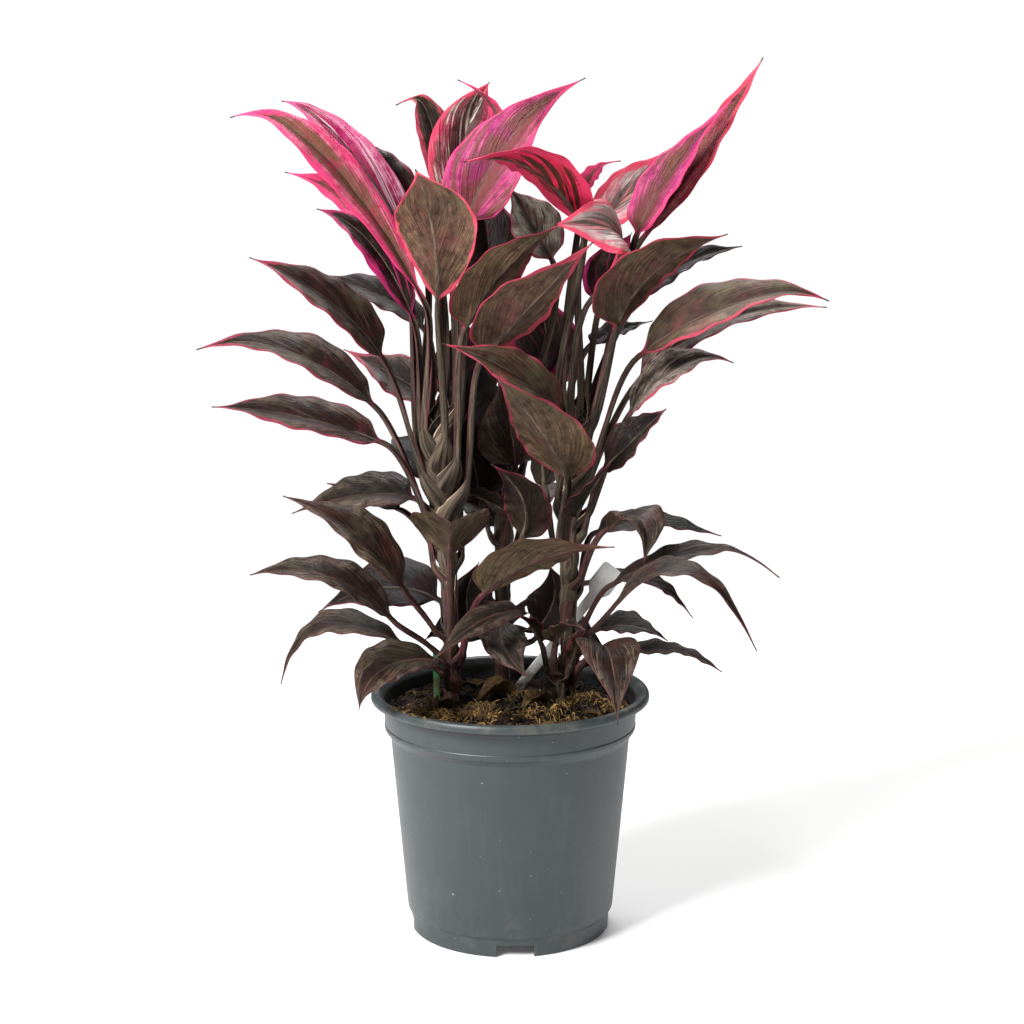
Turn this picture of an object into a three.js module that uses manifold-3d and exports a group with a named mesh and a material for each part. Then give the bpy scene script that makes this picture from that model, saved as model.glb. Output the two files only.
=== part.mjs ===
// Potted mambo ti plant: a nursery pot of peat, three sheathed canes, basal shoots and
// bronze and pink leaves. Millimetres, +Z up, front is -Y, standing on Z = 0.
import * as THREE from "three";
import { mergeVertices } from "three/addons/utils/BufferGeometryUtils.js";
import Module from "manifold-3d";

const wasm = await Module();
wasm.setup();

// Pot, outside sizes
const POT_HEIGHT = 184;
const LIP_RADIUS = 105;
const LIP_DEPTH = 6;
const COLLAR_TOP_RADIUS = 96;
const COLLAR_BOTTOM_RADIUS = 94.5;
const COLLAR_BOTTOM_HEIGHT = 156;
const WALL_TOP_RADIUS = 90.5;
const WALL_TOP_HEIGHT = 150;
const WALL_BOTTOM_RADIUS = 78;
const FOOT_RADIUS = 75.5;
const FOOT_HEIGHT = 13.5;
const WALL_THICKNESS = 1.8;
const FLOOR_UNDERSIDE = 9;
const POT_SIDES = 48;
const NOTCH_COUNT = 4;
const NOTCH_WIDTH = 28;
const NOTCH_HEIGHT = 9;
const NOTCH_TURN = 3;
const DRAIN_COUNT = 8;
const DRAIN_RADIUS = 5;
const DRAIN_CIRCLE = 52;

// Soil
const SOIL_HEIGHT = 170;
const SOIL_ROUGHNESS = 2.5;
const SOIL_SIDES = 32;
const GAP = 0.3;
const STEM_DEPTH = 55;
const CANE_SIDES = 20;

// Plant tag and marker peg
const TAG_WIDTH = 24;
const TAG_LENGTH = 150;
const TAG_POINT = 18;
const TAG_THICKNESS = 1;
const TAG_LEAN = 38;
const SLOT_DEPTH = 60;
const TAG_FOOT = [-12, 41, 150];
const MARKER_LENGTH = 60;
const MARKER_TOP_RADIUS = 3.2;
const MARKER_FOOT_RADIUS = 2;
const MARKER_PLACE = [-56, 24, 148];

// Leaves
const PETIOLE_STEPS = 4;
const BLADE_STEPS = 8;
const BLADE_THICKNESS = 1.1;
const PETIOLE_BASE_RADIUS = 3.2;
const PETIOLE_TOP_RADIUS = 2.3;
const PETIOLE_STANDOFF = 1;
const PETIOLE_LEAN = 20;
const PETIOLE_RISE = 0.3;
const PETIOLE_TURN = 0.2;
const TIP_HALF_WIDTH = 0.6;
const WAVE_STEP = 0.37;
const WAVES_PER_BLADE = 1.6;
const WAVE_LAG = 0.35;
const HOOK_START = 0.72;
const SHOULDER = 0.12;
const FIRST_BLADE_RING = 0.05;
// Petiole section, as shares of its radius: channel edge, channel floor, keel edge height and width
const CHANNEL_EDGE = 0.45;
const CHANNEL_FLOOR = 0.25;
const KEEL_EDGE = 0.6;
const KEEL_WIDTH = 0.75;

// Colours
const POT_GREY = 0x5d6b70;
const PEAT = 0x2b1c12;
const CANE_BROWN = 0x5a4a3c;
const TAG_WHITE = 0xe8e6e0;
const MARKER_GREEN = 0x12a05c;
const TONES = {
  bronze: 0x4a3534,
  brown: 0x6b5548,
  dark: 0x2a1719,
  pink: 0xc93a63,
  magenta: 0xb02d7c,
  striped: 0x8c5860,
};

const UP = new THREE.Vector3(0, 0, 1);

// Canes: axis point at the soil and at the top, sideways bow, radii
const CANES = {
  left: { foot: [-44, 14, 170], top: [-54, 0, 372], bow: [3, -1], footRadius: 6.5, topRadius: 9.5 },
  right: { foot: [44, 30, 170], top: [47, 14, 372], bow: [-1, 1], footRadius: 6.5, topRadius: 9 },
  back: { foot: [-6, 72, 170], top: [-2, 62, 350], bow: [-2, 1], footRadius: 6, topRadius: 8 },
  shoot: { foot: [35, 8, 170], top: [37, 6, 200], bow: [0, 0], footRadius: 3.6, topRadius: 3 },
};

const group = new THREE.Group();

function material(color, roughness = 0.6) {
  return new THREE.MeshStandardMaterial({ color, roughness, metalness: 0 });
}

function addMesh(name, geometry, meshMaterial) {
  const mesh = new THREE.Mesh(geometry, meshMaterial);
  mesh.name = name;
  group.add(mesh);
  return mesh;
}

// A closed geometry as a manifold solid
function solidFrom(geometry) {
  const bare = new THREE.BufferGeometry();
  bare.setAttribute("position", geometry.getAttribute("position").clone());
  if (geometry.index) {
    bare.setIndex(geometry.index.clone());
  }
  const merged = mergeVertices(bare, 1e-4);
  return new wasm.Manifold(
    new wasm.Mesh({
      numProp: 3,
      vertProperties: new Float32Array(merged.getAttribute("position").array),
      triVerts: new Uint32Array(merged.index.array),
    }),
  );
}

function geometryFrom(solid) {
  const mesh = solid.getMesh();
  const geometry = new THREE.BufferGeometry();
  geometry.setAttribute("position", new THREE.BufferAttribute(new Float32Array(mesh.vertProperties), 3));
  geometry.setIndex(new THREE.BufferAttribute(new Uint32Array(mesh.triVerts), 1));
  geometry.computeVertexNormals();
  return geometry;
}

// A lathe profile of [radius, height] points turned about the Z axis
function latheAboutZ(points, sides) {
  const profile = points.map(([r, z]) => new THREE.Vector2(r, z));
  const geometry = new THREE.LatheGeometry(profile, sides);
  geometry.rotateX(Math.PI / 2);
  return geometry;
}

// Level direction at an angle from +X
function compass(degrees) {
  const angle = THREE.MathUtils.degToRad(degrees);
  return new THREE.Vector3(Math.cos(angle), Math.sin(angle), 0);
}

// Axis point of a cane at a height
function caneAxis(cane, height) {
  const span = cane.top[2] - cane.foot[2];
  const t = (height - cane.foot[2]) / span;
  const bow = t > 0 ? 4 * t * (1 - t) : 0;
  return new THREE.Vector3(
    THREE.MathUtils.lerp(cane.foot[0], cane.top[0], Math.max(t, 0)) + cane.bow[0] * bow,
    THREE.MathUtils.lerp(cane.foot[1], cane.top[1], Math.max(t, 0)) + cane.bow[1] * bow,
    height,
  );
}

function caneRadius(cane, height) {
  const t = THREE.MathUtils.clamp((height - cane.foot[2]) / (cane.top[2] - cane.foot[2]), 0, 1);
  return THREE.MathUtils.lerp(cane.footRadius, cane.topRadius, THREE.MathUtils.smoothstep(t, 0.45, 0.75));
}

// Rings of points joined in one closed skin. Each ring runs clockwise seen along the run.
function skin(rings, flips) {
  const count = rings[0].length;
  const positions = rings.flat().flatMap((p) => [p.x, p.y, p.z]);
  const index = [];
  const at = (ring, k) => ring * count + (k % count);
  for (let i = 0; i + 1 < rings.length; i += 1) {
    for (let k = 0; k < count; k += 1) {
      if (flips.includes(k)) {
        index.push(at(i, k), at(i, k + 1), at(i + 1, k));
        index.push(at(i, k + 1), at(i + 1, k + 1), at(i + 1, k));
      } else {
        index.push(at(i, k), at(i, k + 1), at(i + 1, k + 1));
        index.push(at(i, k), at(i + 1, k + 1), at(i + 1, k));
      }
    }
  }
  const last = rings.length - 1;
  const hub = Math.floor((2 * count) / 3);
  for (let step = 1; step + 1 < count; step += 1) {
    index.push(at(0, hub), at(0, hub + step + 1), at(0, hub + step));
    index.push(at(last, hub), at(last, hub + step), at(last, hub + step + 1));
  }
  const geometry = new THREE.BufferGeometry();
  geometry.setAttribute("position", new THREE.Float32BufferAttribute(positions, 3));
  geometry.setIndex(index);
  geometry.computeVertexNormals();
  return geometry;
}

// Point and direction along a leaf: a cubic petiole, then a blade through base, bend and tip
function leafPath(leaf, along) {
  const base = new THREE.Vector3(...leaf.base);
  const bend = new THREE.Vector3(...leaf.bend);
  const tip = new THREE.Vector3(...leaf.tip);
  const pull = bend.clone().multiplyScalar(2).sub(base.clone().add(tip).multiplyScalar(0.5));
  if (along >= 0) {
    const blade = new THREE.QuadraticBezierCurve3(base, pull, tip);
    const point = blade.getPoint(along);
    const hookShare = THREE.MathUtils.clamp((along - HOOK_START) / (1 - HOOK_START), 0, 1) ** 2;
    point.add(new THREE.Vector3(...leaf.hook).multiplyScalar(hookShare));
    return point;
  }
  const cane = CANES[leaf.cane];
  const axis = caneAxis(cane, leaf.node);
  const heading = compass(leaf.side);
  const lean = THREE.MathUtils.degToRad(PETIOLE_LEAN);
  const start = axis.clone();
  if (!leaf.fused) {
    start.addScaledVector(heading, caneRadius(cane, leaf.node) + GAP + PETIOLE_STANDOFF);
  }
  const rise = UP.clone().multiplyScalar(Math.cos(lean)).addScaledVector(heading, Math.sin(lean));
  const reach = start.distanceTo(base);
  const out = pull.clone().sub(base).normalize();
  const petiole = new THREE.CubicBezierCurve3(
    start,
    start.clone().addScaledVector(rise, reach * PETIOLE_RISE),
    base.clone().addScaledVector(out, -reach * PETIOLE_TURN),
    base,
  );
  return petiole.getPoint(along + 1);
}

// Half width of the blade: widest two fifths along, with a drawn-out tip
function bladeHalfWidth(leaf, t) {
  const swell = Math.sin(Math.PI * t ** leaf.widest) ** (0.75 + 0.75 * t);
  return Math.max((leaf.width / 2) * swell, TIP_HALF_WIDTH);
}

function leafRing(leaf, along) {
  const step = 0.01;
  const point = leafPath(leaf, along);
  const ahead = leafPath(leaf, Math.min(along + step, 1));
  const behind = leafPath(leaf, Math.max(along - step, -1));
  const run = ahead.sub(behind).normalize();
  const outward = Math.atan2(leaf.tip[1] - leaf.base[1], leaf.tip[0] - leaf.base[0]);
  const bladeHeading = leaf.heading === null ? THREE.MathUtils.radToDeg(outward) : leaf.heading;
  const away = THREE.MathUtils.euclideanModulo(bladeHeading - leaf.side + 180, 360) - 180;
  const settled = THREE.MathUtils.smoothstep(along, -1, 0);
  const side = compass(leaf.side + away * settled).cross(UP);
  side.addScaledVector(run, -side.dot(run)).normalize();
  const face = side.clone().cross(run);
  const t = Math.max(along, 0);
  const turn = THREE.MathUtils.degToRad(leaf.roll * settled + leaf.twist * t);
  side.applyAxisAngle(run, turn);
  face.applyAxisAngle(run, turn);

  const spread = THREE.MathUtils.smoothstep(t, 0, SHOULDER);
  const petioleRadius = THREE.MathUtils.lerp(PETIOLE_BASE_RADIUS, PETIOLE_TOP_RADIUS, Math.min(along + 1, 1));
  const rib = petioleRadius * (1 - t) ** 2;
  const half = Math.max(bladeHalfWidth(leaf, t) * spread, petioleRadius * (1 - spread));
  const envelope = Math.sin(Math.PI * t) * leaf.wave;
  const leftWave = envelope * Math.sin(2 * Math.PI * (WAVES_PER_BLADE * t + leaf.phase));
  const rightWave = envelope * Math.sin(2 * Math.PI * (WAVES_PER_BLADE * t + leaf.phase + WAVE_LAG));
  const lift = half * Math.tan(THREE.MathUtils.degToRad(leaf.fold)) * spread;
  const edgeTop = THREE.MathUtils.lerp(petioleRadius * CHANNEL_EDGE, BLADE_THICKNESS / 2, spread);
  const edgeBottom = THREE.MathUtils.lerp(-petioleRadius * KEEL_EDGE, -BLADE_THICKNESS / 2, spread);
  const ribTop = THREE.MathUtils.lerp(petioleRadius * CHANNEL_FLOOR, BLADE_THICKNESS / 2, spread);
  const ribBottom = -Math.max(rib, BLADE_THICKNESS / 2);
  const under = THREE.MathUtils.lerp(KEEL_WIDTH, 1, spread) * half;
  const place = (s, n) => point.clone().addScaledVector(side, s).addScaledVector(face, n);
  return [
    place(-half, lift + leftWave + edgeTop),
    place(0, ribTop),
    place(half, lift + rightWave + edgeTop),
    place(under, lift + rightWave + edgeBottom),
    place(0, ribBottom),
    place(-under, lift + leftWave + edgeBottom),
  ];
}

function leafGeometry(leaf) {
  const rings = [];
  for (let i = 0; i < PETIOLE_STEPS; i += 1) {
    rings.push(leafRing(leaf, i / PETIOLE_STEPS - 1));
  }
  rings.push(leafRing(leaf, 0));
  rings.push(leafRing(leaf, FIRST_BLADE_RING));
  for (let i = 1; i <= BLADE_STEPS; i += 1) {
    rings.push(leafRing(leaf, FIRST_BLADE_RING + ((1 - FIRST_BLADE_RING) * i) / BLADE_STEPS));
  }
  return skin(rings, [3, 4]);
}

const LEAVES = [];

function leaf(name, cane, node, side, base, bend, tip, options = {}) {
  const defaults = {
    width: 50,
    widest: 0.72,
    heading: null,
    roll: 0,
    twist: 0,
    fold: 18,
    wave: 1.5,
    phase: (LEAVES.length * WAVE_STEP) % 1,
    hook: [0, 0, 0],
    tone: "bronze",
    fused: false,
  };
  LEAVES.push({ name, cane, node, side, base, bend, tip, ...defaults, ...options });
}

// Crown of the left cane
leaf("leaf_crown_left_1", "left", 352, 222, [-62, -14, 476], [-130, -18, 577], [-197, -8, 617], {
  width: 31, widest: 0.85, roll: -48, hook: [-3, 0, -10], tone: "pink",
});
leaf("leaf_crown_left_2", "left", 364, 148, [-64, 22, 498], [-122, 46, 587], [-169, 46, 619], {
  width: 32, widest: 0.62, roll: -55, tone: "magenta",
});
leaf("leaf_crown_left_3", "left", 338, 188, [-79, 12, 499], [-116, 20, 545], [-164, 12, 568], {
  width: 28, widest: 0.8, roll: -45, tone: "pink",
});
leaf("leaf_crown_left_5", "left", 346, 288, [-52, -29, 474], [-54, -50, 527], [-66, -58, 572], {
  width: 66, widest: 1.15, fold: 12, tone: "brown",
});
leaf("leaf_crown_left_6", "left", 356, 80, [-62, 58, 517], [-98, 66, 568], [-115, 70, 583], {
  width: 38, roll: -40, tone: "dark",
});
leaf("leaf_crown_left_7", "left", 370, 76, [-52, 40, 550], [-59, 52, 603], [-76, 56, 627], {
  width: 26, roll: -40, hook: [-9, 2, -11], tone: "brown",
});
leaf("leaf_crown_centre_1", "left", 366, 42, [-43, 24, 535], [-32, 34, 597], [-15, 34, 633], {
  width: 50, heading: 100, fold: 10, tone: "striped",
});
leaf("leaf_crown_centre_2", "left", 372, 16, [-22, 12, 560], [-8, 16, 604], [-38, 14, 634], {
  width: 14, roll: 60, tone: "pink", fused: true,
});
leaf("leaf_crown_centre_3", "left", 360, 335, [-32, -6, 530], [-4, -8, 587], [47, -8, 636], {
  width: 56, widest: 0.58, roll: 66, hook: [7, 0, -1], tone: "magenta",
});
leaf("leaf_crown_centre_4", "right", 366, 205, [52, -10, 528], [17, -60, 571], [-32, -70, 577], {
  width: 46, roll: 18, tone: "pink",
});
leaf("leaf_crown_centre_5", "right", 350, 262, [59, -6, 477], [78, -28, 523], [29, -54, 533], {
  width: 48, widest: 1.4, roll: -35, twist: -40, fold: 8, wave: 1, tone: "striped",
});
leaf("leaf_crown_centre_6", "back", 344, 62, [32, 58, 500], [15, 62, 531], [-1, 66, 555], {
  width: 42, roll: -50, tone: "striped",
});
leaf("leaf_crown_centre_7", "back", 342, 104, [-10, 80, 470], [-18, 94, 520], [-22, 108, 556], {
  width: 60, tone: "dark",
});
leaf("leaf_front_centre_1", "left", 330, 312, [-33, -26, 457], [-6, -44, 498], [36, -50, 534], {
  width: 52, roll: -25, tone: "brown",
});
leaf("leaf_front_centre_2", "left", 312, 345, [-19, -30, 438], [15, -56, 477], [58, -66, 522], {
  width: 60, roll: -25, tone: "brown",
});

// Crown of the right cane
leaf("leaf_crown_right_1", "right", 362, 340, [91, -6, 522], [117, -4, 570], [161, -2, 621], {
  width: 34, widest: 0.6, roll: 42, tone: "magenta",
});
leaf("leaf_crown_right_2", "right", 368, 20, [96, 12, 519], [145, 14, 587], [183, 16, 650], {
  width: 32, roll: 35, tone: "pink",
});
leaf("leaf_crown_right_3", "right", 372, 62, [62, 34, 528], [92, 40, 555], [128, 44, 589], {
  width: 38, roll: 55, tone: "striped",
});
leaf("leaf_crown_right_4", "right", 338, 300, [76, -16, 456], [102, -34, 498], [154, -40, 526], {
  width: 68, roll: -25, tone: "brown",
});
leaf("leaf_crown_right_5", "right", 320, 88, [95, 46, 471], [130, 50, 498], [174, 52, 512], {
  width: 34, roll: 25, tone: "dark", fused: true,
});
leaf("leaf_crown_right_6", "right", 372, 122, [54, 54, 545], [61, 60, 564], [77, 62, 577], {
  width: 14, roll: 40, hook: [6, 0, -2], tone: "pink", fused: true,
});
leaf("leaf_right_1", "right", 326, 328, [93, -12, 436], [156, -26, 474], [226, -32, 488], {
  width: 54, roll: 30, hook: [2, 0, -10], tone: "bronze",
});
leaf("leaf_right_2", "right", 318, 40, [94, 28, 411], [156, 31, 457], [236, 32, 468], {
  width: 38, roll: 30, tone: "striped",
});
leaf("leaf_right_3", "right", 300, 5, [87, 4, 390], [120, -4, 426], [161, -8, 436], {
  width: 38, roll: 32, hook: [2, 0, -5], tone: "bronze",
});
leaf("leaf_right_4", "right", 288, 325, [68, -10, 352], [92, -22, 378], [113, -28, 400], {
  width: 44, roll: 40, tone: "dark",
});
leaf("leaf_right_5", "right", 332, 118, [61, 58, 437], [79, 66, 446], [109, 74, 454], {
  width: 22, roll: 25, tone: "dark",
});

// Left side
leaf("leaf_left_1", "left", 322, 222, [-92, -14, 434], [-131, -24, 478], [-186, -30, 509], {
  width: 48, roll: -36, tone: "bronze",
});
leaf("leaf_left_2", "left", 334, 138, [-64, 36, 451], [-100, 40, 477], [-154, 44, 491], {
  width: 36, roll: -28, tone: "dark",
});
leaf("leaf_left_3", "left", 306, 190, [-98, -2, 397], [-158, -8, 438], [-223, -12, 446], {
  width: 48, roll: -26, hook: [-5, 0, -5], tone: "bronze",
});
leaf("leaf_left_4", "left", 290, 220, [-92, -16, 373], [-153, -22, 393], [-216, -26, 401], {
  width: 44, roll: -30, tone: "bronze",
});
leaf("leaf_left_5", "left", 314, 120, [-56, 38, 395], [-87, 52, 414], [-127, 66, 433], {
  width: 40, roll: -35, tone: "brown",
});
leaf("leaf_left_6", "left", 282, 95, [-56, 36, 332], [-72, 64, 356], [-85, 102, 360], {
  width: 46, tone: "dark",
});

// Front
leaf("leaf_front_1", "right", 306, 220, [39, -32, 393], [4, -50, 427], [-48, -54, 450], {
  width: 46, roll: -40, tone: "bronze",
});
leaf("leaf_front_2", "right", 278, 222, [42, -28, 348], [24, -64, 386], [-14, -90, 436], {
  width: 58, roll: 15, tone: "bronze",
});
leaf("leaf_front_3", "left", 200, 268, [-44, -24, 291], [-43, -54, 315], [-41, -98, 329], {
  width: 58, roll: 0, fold: 32, tone: "bronze",
});
leaf("leaf_front_4", "left", 196, 310, [-21, -32, 262], [20, -60, 294], [74, -78, 308], {
  width: 56, roll: -28, tone: "brown",
});
leaf("leaf_front_5", "back", 190, 205, [-5, 2, 238], [-5, -22, 221], [15, -44, 202], {
  width: 38, tone: "bronze", fused: true,
});

// Centre, behind
leaf("leaf_centre_1", "back", 300, 280, [4, 38, 346], [0, 34, 380], [-8, 34, 416], {
  width: 56, heading: 100, tone: "bronze",
});
leaf("leaf_centre_2", "back", 262, 292, [8, 8, 296], [10, -6, 328], [-14, -18, 358], {
  width: 38, roll: 20, tone: "bronze",
});
leaf("leaf_centre_3", "back", 280, 222, [-22, 44, 318], [-28, 46, 352], [-32, 50, 392], {
  width: 50, heading: 100, tone: "brown", fused: true,
});
leaf("leaf_centre_4", "left", 272, 25, [-32, 18, 330], [-12, 22, 321], [14, 25, 302], {
  width: 26, roll: -30, tone: "dark", fused: true,
});
leaf("leaf_centre_5", "back", 322, 30, [24, 78, 400], [28, 86, 440], [18, 90, 480], {
  width: 58, heading: 80, tone: "dark",
});
leaf("leaf_centre_6", "back", 314, 190, [-28, 68, 390], [-36, 72, 424], [-38, 76, 462], {
  width: 54, heading: 100, tone: "dark", fused: true,
});
leaf("leaf_centre_7", "back", 214, 320, [20, 60, 215], [34, 60, 240], [30, 56, 268], {
  width: 40, heading: 80, tone: "dark", fused: true,
});
leaf("leaf_centre_8", "back", 206, 200, [-26, 62, 214], [-34, 58, 240], [-24, 54, 270], {
  width: 42, heading: 100, tone: "dark", fused: true,
});
leaf("leaf_back_1", "back", 310, 90, [4, 100, 400], [2, 138, 432], [-2, 180, 412], {
  width: 56, tone: "bronze",
});
leaf("leaf_back_2", "back", 230, 80, [8, 98, 290], [14, 138, 310], [20, 182, 286], {
  width: 54, tone: "bronze",
});

// Lower left
leaf("leaf_low_left_1", "left", 276, 134, [-82, 34, 314], [-111, 44, 324], [-140, 50, 332], {
  width: 26, roll: -20, tone: "dark", fused: true,
});
leaf("leaf_low_left_2", "left", 264, 186, [-71, 12, 327], [-111, 14, 329], [-163, 10, 316], {
  width: 44, roll: -30, tone: "bronze",
});
leaf("leaf_low_left_3", "left", 218, 200, [-78, -20, 264], [-113, -30, 308], [-165, -34, 337], {
  width: 50, roll: -30, tone: "bronze",
});
leaf("leaf_low_left_4", "left", 202, 215, [-85, -28, 242], [-134, -36, 278], [-189, -42, 280], {
  width: 44, roll: -22, tone: "bronze",
});
leaf("leaf_low_left_5", "left", 226, 130, [-54, 34, 244], [-98, 42, 252], [-148, 46, 232], {
  width: 54, roll: -34, tone: "dark",
});
leaf("leaf_low_left_6", "left", 190, 185, [-77, -2, 217], [-137, -6, 232], [-172, -14, 196], {
  width: 36, roll: -15, hook: [1, 0, -5], tone: "bronze",
});
leaf("leaf_low_left_7", "left", 180, 238, [-50, -24, 211], [-91, -60, 215], [-108, -84, 190], {
  width: 44, roll: -20, tone: "bronze",
});
leaf("leaf_low_left_8", "back", 208, 286, [10, -4, 245], [-23, -38, 244], [-57, -46, 216], {
  width: 22, roll: -40, tone: "bronze",
});

// Lower right
leaf("leaf_low_right_1", "right", 262, 288, [48, -14, 318], [58, -32, 340], [73, -42, 363], {
  width: 36, roll: 20, tone: "dark", fused: true,
});
leaf("leaf_low_right_2", "right", 254, 320, [70, -14, 308], [95, -32, 319], [96, -52, 290], {
  width: 42, tone: "bronze",
});
leaf("leaf_low_right_3", "right", 244, 30, [64, 28, 298], [108, 34, 303], [161, 40, 293], {
  width: 40, roll: 12, tone: "dark",
});
leaf("leaf_low_right_4", "right", 214, 330, [74, 8, 261], [132, 6, 285], [192, 0, 289], {
  width: 32, roll: 10, hook: [9, 0, -20], tone: "bronze",
});
leaf("leaf_low_right_5", "right", 200, 312, [75, -22, 251], [124, -40, 282], [175, -54, 242], {
  width: 36, roll: 10, hook: [4, 0, -16], tone: "bronze",
});
leaf("leaf_low_right_6", "back", 222, 0, [70, 70, 252], [111, 72, 248], [143, 74, 221], {
  width: 32, roll: 10, tone: "dark", fused: true,
});
leaf("leaf_low_right_7", "right", 188, 54, [61, 27, 221], [91, 20, 227], [119, 10, 218], {
  width: 30, roll: 18, tone: "dark",
});
leaf("leaf_low_right_8", "right", 180, 92, [87, 44, 199], [126, 42, 202], [163, 36, 187], {
  width: 24, roll: 12, tone: "bronze",
});
leaf("leaf_low_right_9", "right", 178, 285, [64, -26, 220], [72, -70, 226], [76, -106, 186], {
  width: 46, tone: "bronze",
});

// Basal shoots
leaf("leaf_shoot_1", "shoot", 190, 230, [34, -6, 220], [40, -20, 236], [56, -32, 236], {
  width: 26, tone: "bronze", fused: true,
});
leaf("leaf_shoot_2", "shoot", 188, 20, [46, 6, 202], [50, 2, 216], [52, -2, 230], {
  width: 14, heading: 270, tone: "bronze", fused: true,
});
leaf("leaf_shoot_3", "shoot", 184, 150, [24, 16, 214], [14, 10, 232], [2, 2, 240], {
  width: 22, tone: "dark", fused: true,
});

// Inside the bush
leaf("leaf_centre_9", "back", 306, 205, [-32, 62, 367], [-29, 64, 395], [-21, 66, 431], {
  width: 58, heading: 100, tone: "dark", fused: true,
});
leaf("leaf_centre_10", "back", 226, 185, [-10, 74, 293], [-28, 76, 310], [-50, 76, 312], {
  width: 46, roll: -30, tone: "dark", fused: true,
});
leaf("leaf_centre_11", "back", 196, 140, [-19, 84, 201], [-41, 90, 209], [-68, 90, 199], {
  width: 46, roll: -30, tone: "dark", fused: true,
});
leaf("leaf_centre_12", "back", 192, 40, [19, 88, 200], [44, 96, 209], [75, 98, 191], {
  width: 46, roll: 30, tone: "dark", fused: true,
});
leaf("leaf_crown_left_8", "left", 328, 204, [-70, -7, 461], [-101, -5, 517], [-140, 0, 542], {
  width: 30, widest: 0.8, roll: -45, tone: "dark", fused: true,
});
leaf("leaf_crown_right_7", "right", 324, 65, [67, 42, 468], [77, 44, 497], [91, 44, 523], {
  width: 40, heading: 80, fold: 6, tone: "dark", fused: true,
});
leaf("leaf_centre_13", "right", 282, 170, [26, 17, 334], [23, 21, 359], [19, 25, 400], {
  width: 22, heading: 250, fold: 30, tone: "dark", fused: true,
});

// Pot: a turned shell with a notched foot and drain holes
function potGeometry() {
  const lipUnder = POT_HEIGHT - LIP_DEPTH;
  const floorTop = FLOOR_UNDERSIDE + WALL_THICKNESS;
  const profile = [
    [0, FLOOR_UNDERSIDE],
    [FOOT_RADIUS - WALL_THICKNESS, FLOOR_UNDERSIDE],
    [FOOT_RADIUS - WALL_THICKNESS, 0],
    [FOOT_RADIUS, 0],
    [FOOT_RADIUS, FOOT_HEIGHT],
    [WALL_BOTTOM_RADIUS, FOOT_HEIGHT + 1.5],
    [WALL_TOP_RADIUS, WALL_TOP_HEIGHT],
    [COLLAR_BOTTOM_RADIUS, COLLAR_BOTTOM_HEIGHT],
    [COLLAR_TOP_RADIUS, lipUnder],
    [LIP_RADIUS - 1.5, lipUnder],
    [LIP_RADIUS, lipUnder + 1.5],
    [LIP_RADIUS - 0.5, POT_HEIGHT - 1.5],
    [LIP_RADIUS - 3, POT_HEIGHT],
    [COLLAR_TOP_RADIUS + 1, POT_HEIGHT - 1],
    [COLLAR_TOP_RADIUS - WALL_THICKNESS, lipUnder],
    [COLLAR_BOTTOM_RADIUS - WALL_THICKNESS, COLLAR_BOTTOM_HEIGHT + 1],
    [WALL_TOP_RADIUS - WALL_THICKNESS, WALL_TOP_HEIGHT],
    [WALL_BOTTOM_RADIUS - WALL_THICKNESS, FOOT_HEIGHT + 2],
    [FOOT_RADIUS - WALL_THICKNESS - 1, floorTop],
    [0, floorTop],
  ];
  let shell = solidFrom(latheAboutZ(profile, POT_SIDES));
  for (let i = 0; i < NOTCH_COUNT; i += 1) {
    const notch = new THREE.BoxGeometry(NOTCH_WIDTH, 12, NOTCH_HEIGHT * 2);
    notch.translate(0, -FOOT_RADIUS, 0);
    notch.rotateZ(THREE.MathUtils.degToRad(NOTCH_TURN + (360 / NOTCH_COUNT) * i));
    shell = shell.subtract(solidFrom(notch));
  }
  for (let i = 0; i < DRAIN_COUNT; i += 1) {
    const drain = new THREE.CylinderGeometry(DRAIN_RADIUS, DRAIN_RADIUS, 12, 12);
    drain.rotateX(Math.PI / 2);
    drain.translate(DRAIN_CIRCLE, 0, FLOOR_UNDERSIDE + 1);
    drain.rotateZ((2 * Math.PI * i) / DRAIN_COUNT);
    shell = shell.subtract(solidFrom(drain));
  }
  return geometryFrom(shell);
}

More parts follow.
